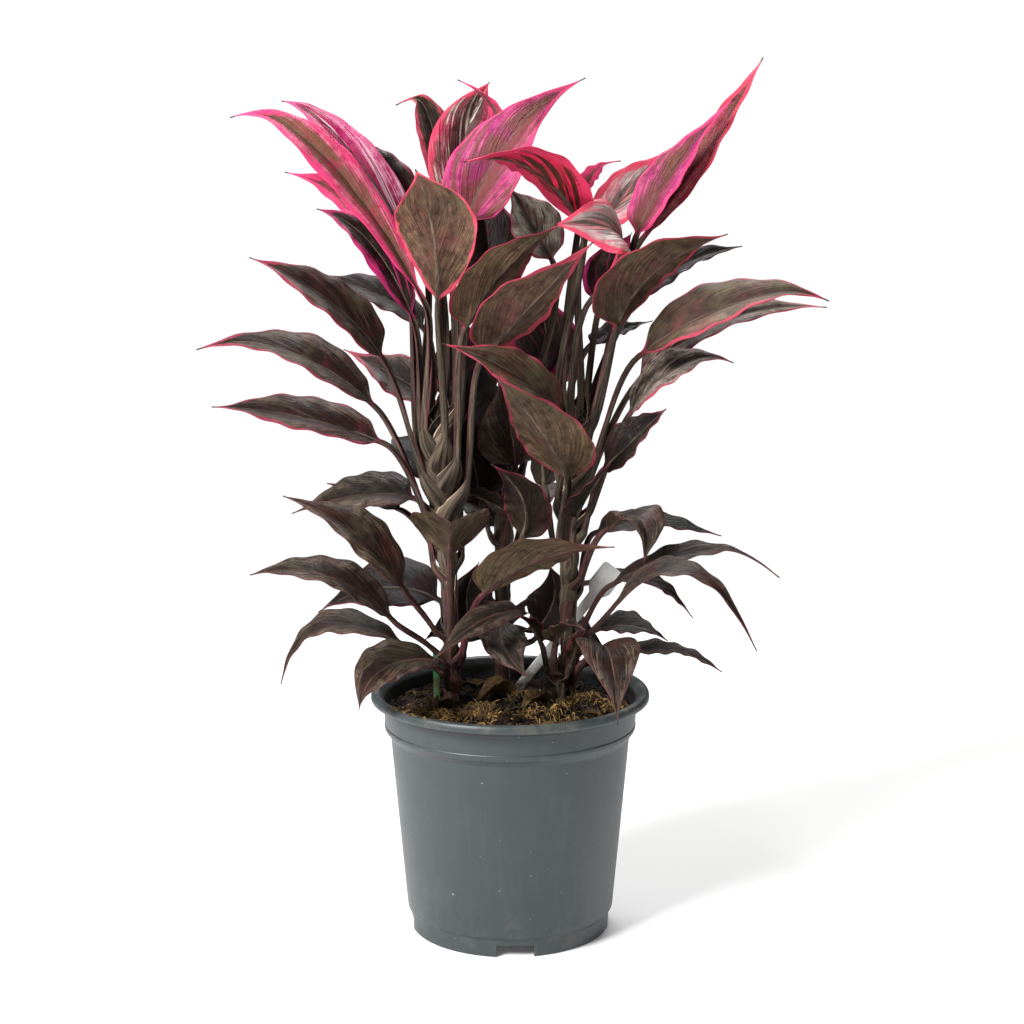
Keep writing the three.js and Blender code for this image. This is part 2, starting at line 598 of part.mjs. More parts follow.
// Soil: the root ball, with an uneven top and a plain hole for each stem
function soilGeometry(stems) {
  const inside = (radius) => radius - WALL_THICKNESS - GAP;
  const profile = [
    [0, FLOOR_UNDERSIDE + WALL_THICKNESS + GAP],
    [inside(FOOT_RADIUS) - 2, FLOOR_UNDERSIDE + WALL_THICKNESS + GAP],
    [inside(WALL_BOTTOM_RADIUS) - 0.5, FOOT_HEIGHT + 4],
    [inside(WALL_TOP_RADIUS) - 0.5, WALL_TOP_HEIGHT - 0.5],
    [inside(COLLAR_BOTTOM_RADIUS) - 0.5, COLLAR_BOTTOM_HEIGHT + 2],
    [inside(COLLAR_BOTTOM_RADIUS), SOIL_HEIGHT - 5],
    [78, SOIL_HEIGHT - 2],
    [60, SOIL_HEIGHT],
    [40, SOIL_HEIGHT + 1],
    [20, SOIL_HEIGHT + 1],
    [0, SOIL_HEIGHT],
  ];
  const geometry = latheAboutZ(profile, SOIL_SIDES);
  const position = geometry.getAttribute("position");
  for (let i = 0; i < position.count; i += 1) {
    const [x, y, z] = [position.getX(i), position.getY(i), position.getZ(i)];
    if (z > SOIL_HEIGHT - 4) {
      const bumps = Math.sin(x * 0.11 + 1) * Math.cos(y * 0.13) + 0.6 * Math.sin(x * 0.23 - y * 0.19);
      position.setZ(i, z + SOIL_ROUGHNESS * bumps);
    }
  }
  let ball = solidFrom(geometry);
  for (const stem of stems) {
    const depth = 2 * STEM_DEPTH;
    const hole = new THREE.CylinderGeometry(stem.radius + 2 * GAP, stem.radius + 2 * GAP, depth, 12);
    hole.rotateX(Math.PI / 2);
    hole.translate(stem.x, stem.y, stem.bottom + depth / 2 - GAP);
    ball = ball.subtract(solidFrom(hole));
  }
  const slot = new THREE.BoxGeometry(TAG_WIDTH * 0.7, TAG_THICKNESS + 2 * GAP, SLOT_DEPTH);
  slot.rotateY(THREE.MathUtils.degToRad(TAG_LEAN));
  const slotCentre = new THREE.Vector3(0, -TAG_THICKNESS / 2, SLOT_DEPTH / 2 - GAP * 2);
  slotCentre.applyAxisAngle(new THREE.Vector3(0, 1, 0), THREE.MathUtils.degToRad(TAG_LEAN));
  slotCentre.add(new THREE.Vector3(...TAG_FOOT));
  slot.translate(slotCentre.x, slotCentre.y, slotCentre.z);
  ball = ball.subtract(solidFrom(slot));
  const pegRadius = MARKER_TOP_RADIUS + GAP;
  const pegHole = new THREE.CylinderGeometry(pegRadius, pegRadius, SLOT_DEPTH, 10);
  pegHole.rotateX(Math.PI / 2);
  pegHole.translate(MARKER_PLACE[0], MARKER_PLACE[1], MARKER_PLACE[2] + SLOT_DEPTH / 2 - GAP);
  ball = ball.subtract(solidFrom(pegHole));
  return geometryFrom(ball);
}

// A cane: a round stem from its foot in the soil to the crown
function caneGeometry(cane) {
  const bottom = cane.foot[2] - STEM_DEPTH;
  const inner = [210, 230, 250, 270, 290, 310, 330].filter((height) => height < cane.top[2] - 10);
  const heights = [bottom, cane.foot[2], ...inner, cane.top[2] - 4, cane.top[2] + 10];
  const rings = heights.map((height, i) => {
    const axis = caneAxis(cane, Math.min(height, cane.top[2]));
    axis.z = height;
    const taper = i === heights.length - 1 ? 0.35 : 1;
    const radius = caneRadius(cane, height) * taper;
    return Array.from({ length: CANE_SIDES }, (_, k) => {
      const angle = (2 * Math.PI * k) / CANE_SIDES;
      return new THREE.Vector3(Math.cos(angle) * radius, Math.sin(angle) * radius, 0).add(axis);
    });
  });
  return skin(rings, []);
}

const stems = Object.values(CANES).map((cane) => ({
  x: cane.foot[0],
  y: cane.foot[1],
  radius: cane.footRadius,
  bottom: cane.foot[2] - STEM_DEPTH,
}));

addMesh("pot", potGeometry(), material(POT_GREY, 0.45));
addMesh("soil", soilGeometry(stems), material(PEAT, 0.95));

for (const [key, cane] of Object.entries(CANES)) {
  let stem = solidFrom(caneGeometry(cane));
  for (const entry of LEAVES.filter((item) => item.cane === key && item.fused)) {
    stem = stem.add(solidFrom(leafGeometry(entry)));
  }
  addMesh(key === "shoot" ? "basal_shoots" : `cane_${key}`, geometryFrom(stem), material(CANE_BROWN));
}

for (const entry of LEAVES.filter((item) => !item.fused)) {
  addMesh(entry.name, leafGeometry(entry), material(TONES[entry.tone], 0.4));
}

// Plant tag: a flat bare label, pointed at its foot, leaning to the right
function tagGeometry() {
  const half = TAG_WIDTH / 2;
  const shape = new THREE.Shape();
  shape.moveTo(0, 0);
  shape.lineTo(half * 0.45, TAG_POINT);
  shape.lineTo(half * 0.6, TAG_LENGTH * 0.62);
  shape.lineTo(half, TAG_LENGTH * 0.7);
  shape.lineTo(half, TAG_LENGTH - 3);
  shape.lineTo(half - 3, TAG_LENGTH);
  shape.lineTo(3 - half, TAG_LENGTH);
  shape.lineTo(-half, TAG_LENGTH - 3);
  shape.lineTo(-half, TAG_LENGTH * 0.7);
  shape.lineTo(-half * 0.6, TAG_LENGTH * 0.62);
  shape.lineTo(-half * 0.45, TAG_POINT);
  const tag = new THREE.ExtrudeGeometry(shape, { depth: TAG_THICKNESS, bevelEnabled: false });
  tag.rotateX(Math.PI / 2);
  tag.rotateY(THREE.MathUtils.degToRad(TAG_LEAN));
  tag.translate(...TAG_FOOT);
  return tag;
}

// Green marker: a tapered peg beside the left cane
function markerGeometry() {
  const peg = new THREE.CylinderGeometry(MARKER_TOP_RADIUS, MARKER_FOOT_RADIUS, MARKER_LENGTH, 8);
  peg.scale(1, 1, 0.4);
  peg.rotateX(Math.PI / 2);
  peg.translate(MARKER_PLACE[0], MARKER_PLACE[1], MARKER_PLACE[2] + MARKER_LENGTH / 2);
  return peg;
}

addMesh("plant_tag", tagGeometry(), material(TAG_WHITE, 0.5));
addMesh("green_marker", markerGeometry(), material(MARKER_GREEN, 0.4));

// The plant's bounding box is centred over the origin
const centre = new THREE.Box3().setFromObject(group).getCenter(new THREE.Vector3());
for (const mesh of group.children) {
  mesh.geometry.translate(-centre.x, -centre.y, 0);
}

export default group;
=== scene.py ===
"""A potted mambo ti plant: bronze and pink leaves on sheathed canes in a grey nursery pot.

Lengths are in millimetres in the plant's own frame, with the pot's axis at the origin, +Z up
and the front towards -Y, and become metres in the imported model's frame when a mesh is made.
"""

import logging
import math
from dataclasses import dataclass, field
from enum import Enum

import bpy
import numpy as np
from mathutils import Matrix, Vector


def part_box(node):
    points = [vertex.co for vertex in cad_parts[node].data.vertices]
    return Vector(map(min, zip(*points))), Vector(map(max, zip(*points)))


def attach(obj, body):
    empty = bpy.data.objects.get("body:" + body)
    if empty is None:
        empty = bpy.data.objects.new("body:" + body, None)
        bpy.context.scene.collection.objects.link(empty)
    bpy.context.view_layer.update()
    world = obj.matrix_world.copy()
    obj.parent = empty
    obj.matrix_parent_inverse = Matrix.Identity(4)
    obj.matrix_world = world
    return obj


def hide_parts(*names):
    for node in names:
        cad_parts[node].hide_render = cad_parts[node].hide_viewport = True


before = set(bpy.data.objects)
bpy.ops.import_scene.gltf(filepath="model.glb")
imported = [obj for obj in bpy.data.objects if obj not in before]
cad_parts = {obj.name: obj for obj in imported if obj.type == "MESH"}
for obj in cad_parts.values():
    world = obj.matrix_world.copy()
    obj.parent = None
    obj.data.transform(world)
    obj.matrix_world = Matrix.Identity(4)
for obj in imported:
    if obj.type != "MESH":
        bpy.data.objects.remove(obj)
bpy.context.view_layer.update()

log = logging.getLogger("ti_plant")

Array = np.ndarray
Pair = tuple[float, float]
Triple = tuple[float, float, float]

MM = 0.001
UP = np.array([0.0, 0.0, 1.0])

# A petiole: its radii at the cane and at the blade, how far its foot stands off the cane and
# is then sunk in it, its lean from the upright, and the shares of its reach over which it
# rises from the cane and turns into the blade.
PETIOLE_BASE_RADIUS = 3.2
PETIOLE_TOP_RADIUS = 2.3
PETIOLE_STANDOFF = 1.3
PETIOLE_SINK = 3.6
PETIOLE_LEAN = math.radians(20)
PETIOLE_RISE = 0.3
PETIOLE_TURN = 0.2

# A blade: the shares of its length where it has spread out of the petiole and where its tip
# begins to hook, its thickness, the waves and finer ripples in an edge, how far the waves of
# one edge run ahead of the other's, and the quilted folds between its side veins.
SPREAD_END = 0.12
HOOK_START = 0.72
BLADE_THICKNESS = 0.85
EDGE_WAVES = 1.6
EDGE_RIPPLES = 5.3
EDGE_LEAD = 0.35
QUILT_FOLDS = 7
# Each leaf's waves begin this share of a wave after those of the leaf before it.
WAVE_STEP = 0.37

# A sheath: the share of half the petiole's rise that it climbs above its leaf's node, the
# least and greatest climb, and the height in the peat under which no sheath begins.
SHEATH_SHARE = 0.55
SHEATH_CLIMB = (6, 36)
SHEATH_FLOOR = 158

SOIL_HEIGHT = 170.0
LIP_HEIGHT = 184.0


def pot_axis() -> Array:
    """The foot of the pot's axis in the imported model's frame, in metres."""
    low, high = (np.array(corner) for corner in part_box("pot"))
    return np.array([(low[0] + high[0]) / 2, (low[1] + high[1]) / 2, low[2]])


AXIS = pot_axis()


def smoothstep(value: Array | float, low: float, high: float) -> Array:
    """Zero below low, one above high, and the cubic 3x^2 - 2x^3 between them."""
    x = np.clip((np.asarray(value, dtype=float) - low) / (high - low), 0.0, 1.0)
    return x * x * (3 - 2 * x)


def lerp(a: Array | float, b: Array | float, share: Array | float) -> Array:
    """The straight mix of a and b."""
    return a + (np.asarray(b) - a) * share


def unit(vectors: Array) -> Array:
    """Vectors along the last axis, each divided by its length."""
    return vectors / np.linalg.norm(vectors, axis=-1, keepdims=True)


def dot(a: Array, b: Array) -> Array:
    """The dot product along the last axis, kept as a column."""
    return np.sum(a * b, axis=-1, keepdims=True)


def ray(angle: Array | float) -> Array:
    """The level direction at an angle from +X, in radians."""
    return np.stack([np.cos(angle), np.sin(angle), np.zeros_like(angle)], axis=-1)


def compass(degrees: Array | float) -> Array:
    """The level direction at an angle from +X, in degrees."""
    return ray(np.radians(degrees))


def turns(count: int) -> Array:
    """Even angles round a circle, in radians."""
    return np.linspace(0, math.tau, count, endpoint=False)


def turned(vectors: Array, axes: Array, angle: Array) -> Array:
    """Each vector turned about its axis, where both are square to each other.

    Args:
        vectors: Rows of unit vectors.
        axes: Rows of unit axes.
        angle: The turn of each row, in radians.

    Returns:
        v cos(a) + (axis x v) sin(a), row by row.
    """
    angle = angle[:, None]
    return vectors * np.cos(angle) + np.cross(axes, vectors) * np.sin(angle)


@dataclass
class Shell:
    """One closed skin, with its values at the vertices.

    Attributes:
        points: Vertices in millimetres, one to a row.
        quads: Faces with four corners.
        tris: Faces with three corners.
        values: Named numbers, one for each vertex.
        paint: The index of its material on the piece.
    """

    points: Array
    quads: Array
    tris: Array = field(default_factory=lambda: np.zeros((0, 3), int))
    values: dict[str, Array] = field(default_factory=dict)
    paint: int = 0

    def facing_out(self) -> "Shell":
        """Turns the shell over if its faces point inwards.

        The signed volume is a sixth of the sum of a . (b x c) over all its triangles.

        Returns:
            The same shell.
        """
        halves = [self.tris]
        if len(self.quads):
            halves += [self.quads[:, [0, 1, 2]], self.quads[:, [0, 2, 3]]]
        corners = self.points[np.concatenate(halves)]
        volume = np.sum(np.cross(corners[:, 1], corners[:, 2]) * corners[:, 0])
        if volume < 0:
            self.quads = self.quads[:, ::-1]
            self.tris = self.tris[:, ::-1]
        return self


def grid_quads(rows: int, columns: int, wrap: bool) -> Array:
    """The quads of a grid of rows by columns.

    Args:
        rows: Points along the first parameter.
        columns: Points along the second parameter.
        wrap: True joins the last column to the first.

    Returns:
        One row of four vertex numbers for each quad.
    """
    spans = columns if wrap else columns - 1
    i, k = np.meshgrid(np.arange(rows - 1), np.arange(spans), indexing="ij")
    here, beside = i * columns + k, i * columns + (k + 1) % columns
    return np.stack([here, beside, beside + columns, here + columns], axis=-1).reshape(-1, 4)


def both(grid: Array) -> Array:
    """One grid of numbers for the upper and the lower surface alike."""
    return np.stack([grid, grid])


def ribbon(upper: Array, lower: Array, values: dict[str, Array]) -> Shell:
    """A closed sheet between an upper and a lower surface on the same grid.

    Each station's ring is the upper row and then the lower row backwards. The two end rings
    are closed by a strip of quads from the upper row to the lower one.

    Args:
        upper: Points of the upper surface, stations by columns by 3.
        lower: Points of the lower surface, on the same grid.
        values: Named pairs stacked as 2 by stations by columns, upper first.

    Returns:
        The closed shell.
    """
    stations, columns = upper.shape[:2]
    rings = np.concatenate([upper, lower[:, ::-1]], axis=1)
    k = np.arange(columns - 1)
    strip = np.stack([k, 2 * columns - 1 - k, 2 * columns - 2 - k, k + 1], axis=-1)
    last = strip[:, ::-1] + (stations - 1) * 2 * columns
    quads = np.concatenate([grid_quads(stations, 2 * columns, wrap=True), strip, last])
    flat = {
        name: np.concatenate([pair[0], pair[1][:, ::-1]], axis=1).ravel()
        for name, pair in values.items()
    }
    return Shell(rings.reshape(-1, 3), quads, values=flat).facing_out()


def tube(rings: Array, values: dict[str, Array] | None = None) -> Shell:
    """A closed tube through rings of points, each end drawn in to its middle.

    Args:
        rings: Points, stations by sides by 3.
        values: Named numbers, stations by sides.

    Returns:
        The closed shell, with one added point in the middle of each end.
    """
    stations, sides = rings.shape[:2]
    ends = rings[[0, -1]].mean(axis=1)
    points = np.concatenate([rings.reshape(-1, 3), ends])
    k = np.arange(sides)
    after = (k + 1) % sides
    first = np.stack([after, k, np.full(sides, stations * sides)], axis=-1)
    last = np.stack([k, after, np.full(sides, stations * sides + 1)], axis=-1)
    last[:, :2] += (stations - 1) * sides
    flat = {
        name: np.concatenate([grid.ravel(), grid[[0, -1]].mean(axis=1)])
        for name, grid in (values or {}).items()
    }
    quads = grid_quads(stations, sides, wrap=True)
    return Shell(points, quads, np.concatenate([first, last]), flat).facing_out()


def swept(path: Array, radius: Array, sides: int) -> Array:
    """Rings of a round tube along a path.

    The two cross directions come from the run and a fixed helper direction, so a ring is
    centre + radius (cos a * side + sin a * other).

    Args:
        path: Points along the path.
        radius: The radius at each point.
        sides: Points in each ring.

    Returns:
        Points, stations by sides by 3.
    """
    run = unit(np.gradient(path, axis=0))
    helper = np.array([0.37, 0.86, 0.35])
    side = unit(np.cross(run, helper))
    other = np.cross(run, side)
    angle = turns(sides)[None, :, None]
    spread = np.cos(angle) * side[:, None] + np.sin(angle) * other[:, None]
    return path[:, None] + np.asarray(radius)[:, None, None] * spread


def make_piece(
    name: str,
    shells: list[Shell],
    paints: list[bpy.types.Material],
    nodes: tuple[str, ...] = (),
    smooth: bool = True,
) -> bpy.types.Object:
    """Joins shells in one mesh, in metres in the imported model's frame, and rides it on the root.

    Args:
        name: The piece's name.
        shells: Its closed skins, in millimetres from the pot's axis.
        paints: Its materials, which the shells number.
        nodes: The model's nodes that the piece stands for.
        smooth: True shades it smooth.

    Returns:
        The new object.
    """
    starts = np.cumsum([0] + [len(shell.points) for shell in shells])
    points = np.concatenate([shell.points for shell in shells]) * MM + AXIS
    loops: list[Array] = []
    totals: list[Array] = []
    paint: list[Array] = []
    for shell, start in zip(shells, starts):
        for faces in (shell.quads, shell.tris):
            if len(faces):
                loops.append((faces + start).ravel())
                totals.append(np.full(len(faces), faces.shape[1]))
                paint.append(np.full(len(faces), shell.paint))
    corner, total = np.concatenate(loops), np.concatenate(totals)
    mesh = bpy.data.meshes.new(name)
    mesh.vertices.add(len(points))
    mesh.vertices.foreach_set("co", points.astype(np.float32).ravel())
    mesh.loops.add(len(corner))
    mesh.loops.foreach_set("vertex_index", corner.astype(np.int32))
    mesh.polygons.add(len(total))
    mesh.polygons.foreach_set("loop_start", (np.cumsum(total) - total).astype(np.int32))
    mesh.polygons.foreach_set("material_index", np.concatenate(paint).astype(np.int32))
    mesh.polygons.foreach_set("use_smooth", np.full(len(total), smooth))
    for key in sorted({key for shell in shells for key in shell.values}):
        column = [shell.values.get(key, np.zeros(len(shell.points))) for shell in shells]
        attribute = mesh.attributes.new(key, "FLOAT", "POINT")
        attribute.data.foreach_set("value", np.concatenate(column).astype(np.float32))
    for material in paints:
        mesh.materials.append(material)
    mesh.update(calc_edges=True)
    mesh.validate()
    piece = bpy.data.objects.new(name, mesh)
    bpy.context.scene.collection.objects.link(piece)
    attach(piece, "root")
    if nodes:
        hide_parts(*nodes)
    log.info("%s: %d faces", name, len(total))
    return piece


def linear(code: str) -> tuple[float, float, float, float]:
    """A colour written as six hexadecimal digits, as linear light with full alpha."""
    channels = np.array([int(code[i : i + 2], 16) for i in (0, 2, 4)]) / 255
    light = np.where(channels <= 0.04045, channels / 12.92, ((channels + 0.055) / 1.055) ** 2.4)
    return (*(float(value) for value in light), 1.0)


Socket = bpy.types.NodeSocket
Number = Socket | float
Colour = Socket | tuple[float, float, float, float]


class Finish:
    """A material whose node tree is written as expressions."""

    def __init__(self, name: str) -> None:
        """Starts a material with an empty Principled shader.

        Args:
            name: The material's name.
        """
        self.material = bpy.data.materials.new(name)
        self.material.use_nodes = True
        self.tree = self.material.node_tree
        self.tree.nodes.clear()
        self.shader = self.tree.nodes.new("ShaderNodeBsdfPrincipled")
        output = self.tree.nodes.new("ShaderNodeOutputMaterial")
        self.tree.links.new(self.shader.outputs["BSDF"], output.inputs["Surface"])

    def feed(self, socket: Socket, value: Number | Colour | Triple) -> None:
        """Links a socket's input, or sets it where the value is a plain one.

        Args:
            socket: The input.
            value: Another node's output, a number, a colour or a vector.
        """
        if isinstance(value, Socket):
            self.tree.links.new(value, socket)
        else:
            socket.default_value = value

    def attribute(self, name: str) -> Socket:
        """The mesh's own number of that name."""
        node = self.tree.nodes.new("ShaderNodeAttribute")
        node.attribute_name = name
        return node.outputs["Fac"]

    def place(self) -> Socket:
        """Object coordinates, in metres."""
        return self.tree.nodes.new("ShaderNodeTexCoord").outputs["Object"]

    def parts(self, vector: Socket) -> tuple[Socket, Socket, Socket]:
        """A vector's three numbers."""
        node = self.tree.nodes.new("ShaderNodeSeparateXYZ")
        self.feed(node.inputs[0], vector)
        return node.outputs[0], node.outputs[1], node.outputs[2]

    def vector(self, x: Number, y: Number, z: Number) -> Socket:
        """Three numbers as a vector.

        Args:
            x: The first number.
            y: The second number.
            z: The third number.

        Returns:
            The vector.
        """
        node = self.tree.nodes.new("ShaderNodeCombineXYZ")
        for socket, value in zip(node.inputs, (x, y, z)):
            self.feed(socket, value)
        return node.outputs[0]

    def maths(self, kind: str, a: Number, b: Number = 0.0, c: Number = 0.0) -> Socket:
        """One Math node.

        Args:
            kind: The operation, in Blender's own word.
            a: The first number.
            b: The second number.
            c: The third number, of an operation that has one.

        Returns:
            The result.
        """
        node = self.tree.nodes.new("ShaderNodeMath")
        node.operation = kind
        for socket, value in zip(node.inputs, (a, b, c)):
            self.feed(socket, value)
        return node.outputs[0]

    def times(self, a: Number, b: Number) -> Socket:
        """The product of two numbers."""
        return self.maths("MULTIPLY", a, b)

    def scaled(self, a: Number, factor: Number, offset: Number) -> Socket:
        """A number times a factor, plus an offset."""
        return self.maths("MULTIPLY_ADD", a, factor, offset)

    def step(self, value: Socket, low: float, high: float) -> Socket:
        """Zero at low, one at high and a smooth 3x^2 - 2x^3 between them.

        Args:
            value: The number.
            low: Where the step is zero, which may be above high.
            high: Where it is one.

        Returns:
            The step's height, 0 to 1.
        """
        node = self.tree.nodes.new("ShaderNodeMapRange")
        node.interpolation_type = "SMOOTHSTEP"
        self.feed(node.inputs["Value"], value)
        ends = (low, high, 0.0, 1.0) if low < high else (high, low, 1.0, 0.0)
        for name, end in zip(("From Min", "From Max", "To Min", "To Max"), ends):
            node.inputs[name].default_value = end
        return node.outputs[0]

    def noise(
        self, vector: Socket, scale: float = 1.0, detail: float = 2.0, rough: float = 0.5
    ) -> Socket:
        """Perlin noise about one half.

        Args:
            vector: Where it is read.
            scale: Cells to a unit.
            detail: Octaves.
            rough: How much each octave adds.

        Returns:
            The noise's value.
        """
        node = self.tree.nodes.new("ShaderNodeTexNoise")
        self.feed(node.inputs["Vector"], vector)
        node.inputs["Scale"].default_value = scale
        node.inputs["Detail"].default_value = detail
        node.inputs["Roughness"].default_value = rough
        return node.outputs[0]

    def mix(self, share: Number, a: Colour, b: Colour) -> Socket:
        """A mix of two colours.

        Args:
            share: How much of the second.
            a: The first colour.
            b: The second colour.

        Returns:
            The mixed colour.
        """
        node = self.tree.nodes.new("ShaderNodeMix")
        node.data_type = "RGBA"
        self.feed(node.inputs["Factor"], share)
        self.feed(node.inputs[6], a)
        self.feed(node.inputs[7], b)
        return node.outputs[2]

    def tinted(self, colour: Colour, mask: Socket, strength: Number, code: str) -> Socket:
        """A colour with another laid over it.

        Args:
            colour: The colour underneath.
            mask: Where the other one lies, 0 to 1.
            strength: How much of it shows there.
            code: The other one, as a hexadecimal code.

        Returns:
            The mixed colour.
        """
        return self.mix(self.times(mask, strength), colour, linear(code))

    def between(self, share: Number, a: Number, b: Number) -> Socket:
        """A mix of two numbers.

        Args:
            share: How much of the second.
            a: The first number.
            b: The second number.

        Returns:
            The mixed number.
        """
        node = self.tree.nodes.new("ShaderNodeMix")
        self.feed(node.inputs["Factor"], share)
        self.feed(node.inputs[2], a)
        self.feed(node.inputs[3], b)
        return node.outputs[0]

    def relief(self, height: Socket, depth: float, strength: float = 1.0) -> None:
        """Bumps the shader's normal.

        Args:
            height: The height, about 0 to 1.
            depth: What a height of one stands for, in metres.
            strength: The share of the effect.
        """
        node = self.tree.nodes.new("ShaderNodeBump")
        self.feed(node.inputs["Height"], height)
        node.inputs["Distance"].default_value = depth
        node.inputs["Strength"].default_value = strength
        self.tree.links.new(node.outputs[0], self.shader.inputs["Normal"])

    def surface(self, colour: Colour, roughness: Number) -> None:
        """Feeds the shader's colour and roughness."""
        self.feed(self.shader.inputs["Base Color"], colour)
        self.feed(self.shader.inputs["Roughness"], roughness)


@dataclass(frozen=True)
class LeafPaint:
    """The colours of one kind of leaf, as hexadecimal codes.

    Attributes:
        slot: A material slot's name; it is not used.
        top: The upper face between the veins.
        top_streak: Fine streaks along its veins.
        core: A zone along the midrib of the upper face.
        core_reach: How far the core zone reaches, as a share of the half width.
        band: Broad bands between its veins.
        band_share: How much of the upper face is banded.
        under: The lower face.
        under_streak: Fine streaks on the lower face.
        margin: The coloured edge.
        margin_width: The edge's width in millimetres.
        flush: The red or pink that clouds parts of both faces.
        olive: The greenish brown that clouds other parts.
        rib: The midrib and the petiole.
        gloss: The roughness of the upper face.
        under_bands: How strongly the lower face shows the bands too.
        spots: How dark the fine speckle is.
    """

    slot: str
    top: str
    top_streak: str
    core: str
    core_reach: float
    band: str
    band_share: float
    under: str
    under_streak: str
    margin: str
    margin_width: float
    flush: str
    olive: str
    rib: str = "7e6e5e"
    gloss: float = 0.36
    under_bands: float = 0.0
    spots: float = 0.5


class Tone(Enum):
    """The kinds of leaf on the plant, from old bronze ones to the young pink crown."""

    BRONZE = LeafPaint(
        "leaf_bronze", "2c1a16", "665042", "1e100d", 0.5, "48342a", 0.35,
        "5a4532", "866e54", "9a3048", 1.2, "5a1f2a", "4b4432",
    )
    UMBER = LeafPaint(
        "leaf_bronze", "30211b", "756557", "21140f", 0.5, "453529", 0.35,
        "5a4a36", "8a765c", "5e3634", 0.5, "4a2420", "4e4834", rib="7c564e",
    )
    DARK = LeafPaint(
        "leaf_dark", "1a0f0d", "3e2e27", "100807", 0.7, "251612", 0.3,
        "30221a", "4c3b2d", "6a2433", 0.6, "3a1018", "2c281e",
    )
    WINE = LeafPaint(
        "leaf_dark", "24100f", "4a2c2a", "140908", 0.5, "a01e58", 0.35,
        "3a1c1c", "64323a", "b82868", 2.2, "5a1030", "2c281e",
    )
    BROWN = LeafPaint(
        "leaf_brown", "3a2520", "6b4f44", "251510", 0.5, "4a2f26", 0.4,
        "58402f", "846852", "d24a62", 1.8, "6c3c38", "54523a",
    )
    KHAKI = LeafPaint(
        "leaf_brown", "4e392d", "765e49", "36231b", 0.4, "523c2f", 0.4,
        "80644c", "ac8c6c", "c04058", 1.3, "8a4444", "646246",
    )
    OLIVE = LeafPaint(
        "leaf_brown", "3a2c22", "6b5a48", "2a1c14", 0.5, "4a3a2c", 0.4,
        "644f3a", "947a60", "6a3c38", 0.5, "5c3028", "5e5840", rib="7c3c48",
    )
    SILVER = LeafPaint(
        "leaf_striped", "46362f", "b4a498", "2a1d1a", 0.25, "9c8c80", 0.45,
        "5e4c42", "948274", "b03c54", 0.8, "6e4844", "5a5444",
    )
    PINK = LeafPaint(
        "leaf_pink", "e44474", "ff90b0", "6e553a", 0.5, "84593f", 0.4,
        "a84c50", "d86c7c", "f84480", 2.0, "e02e6c", "8a5440", under_bands=0.5, spots=0.22,
    )
    SALMON = LeafPaint(
        "leaf_pink", "bc3c56", "ea8488", "7a3840", 0.4, "96404a", 0.5,
        "452e2a", "6a4c44", "f04a66", 1.4, "c02a50", "6e5c3e",
    )
    MAGENTA = LeafPaint(
        "leaf_magenta", "a82666", "de6096", "6c4034", 0.5, "7c4a3c", 0.6,
        "aa2a70", "dc689e", "ec4880", 1.4, "a81c76", "7c4c3c", under_bands=0.75, spots=0.2,
    )
    ROSE = LeafPaint(
        "leaf_magenta", "cc2470", "f8b0cc", "a01850", 0.4, "f8d0dc", 0.6,
        "b42a62", "ee86b0", "f0609a", 1.2, "b41060", "c86a80", under_bands=0.6, spots=0.15,
    )
    CRIMSON = LeafPaint(
        "leaf_pink", "44180f", "6c2c1c", "3a160c", 0.45, "ff2858", 0.72,
        "4e2018", "7a3428", "ff4070", 4.5, "8a1828", "4a3020",
        under_bands=1.0, gloss=0.3, spots=0.3,
    )
    CREAM = LeafPaint(
        "leaf_striped", "b8989a", "f2e4dc", "4c3c36", 0.25, "f0848e", 0.6,
        "5a2e26", "8a5040", "f04468", 2.2, "e4647a", "9a9484", under_bands=0.5, spots=0.15,
    )
    STRIPED = LeafPaint(
        "leaf_striped", "8c2440", "b84a60", "342a26", 0.45, "cfc2b4", 0.5,
        "7c4a3e", "a87268", "e04464", 2.2, "a01c40", "5c4c3c", under_bands=0.5,
    )
    GREY = LeafPaint(
        "leaf_striped", "8a8274", "d8d4c4", "3a322a", 0.25, "2a241c", 0.4,
        "8e8a78", "dcdac8", "c4506a", 1.4, "7c5a54", "6e705c", under_bands=0.8, spots=0.2,
    )


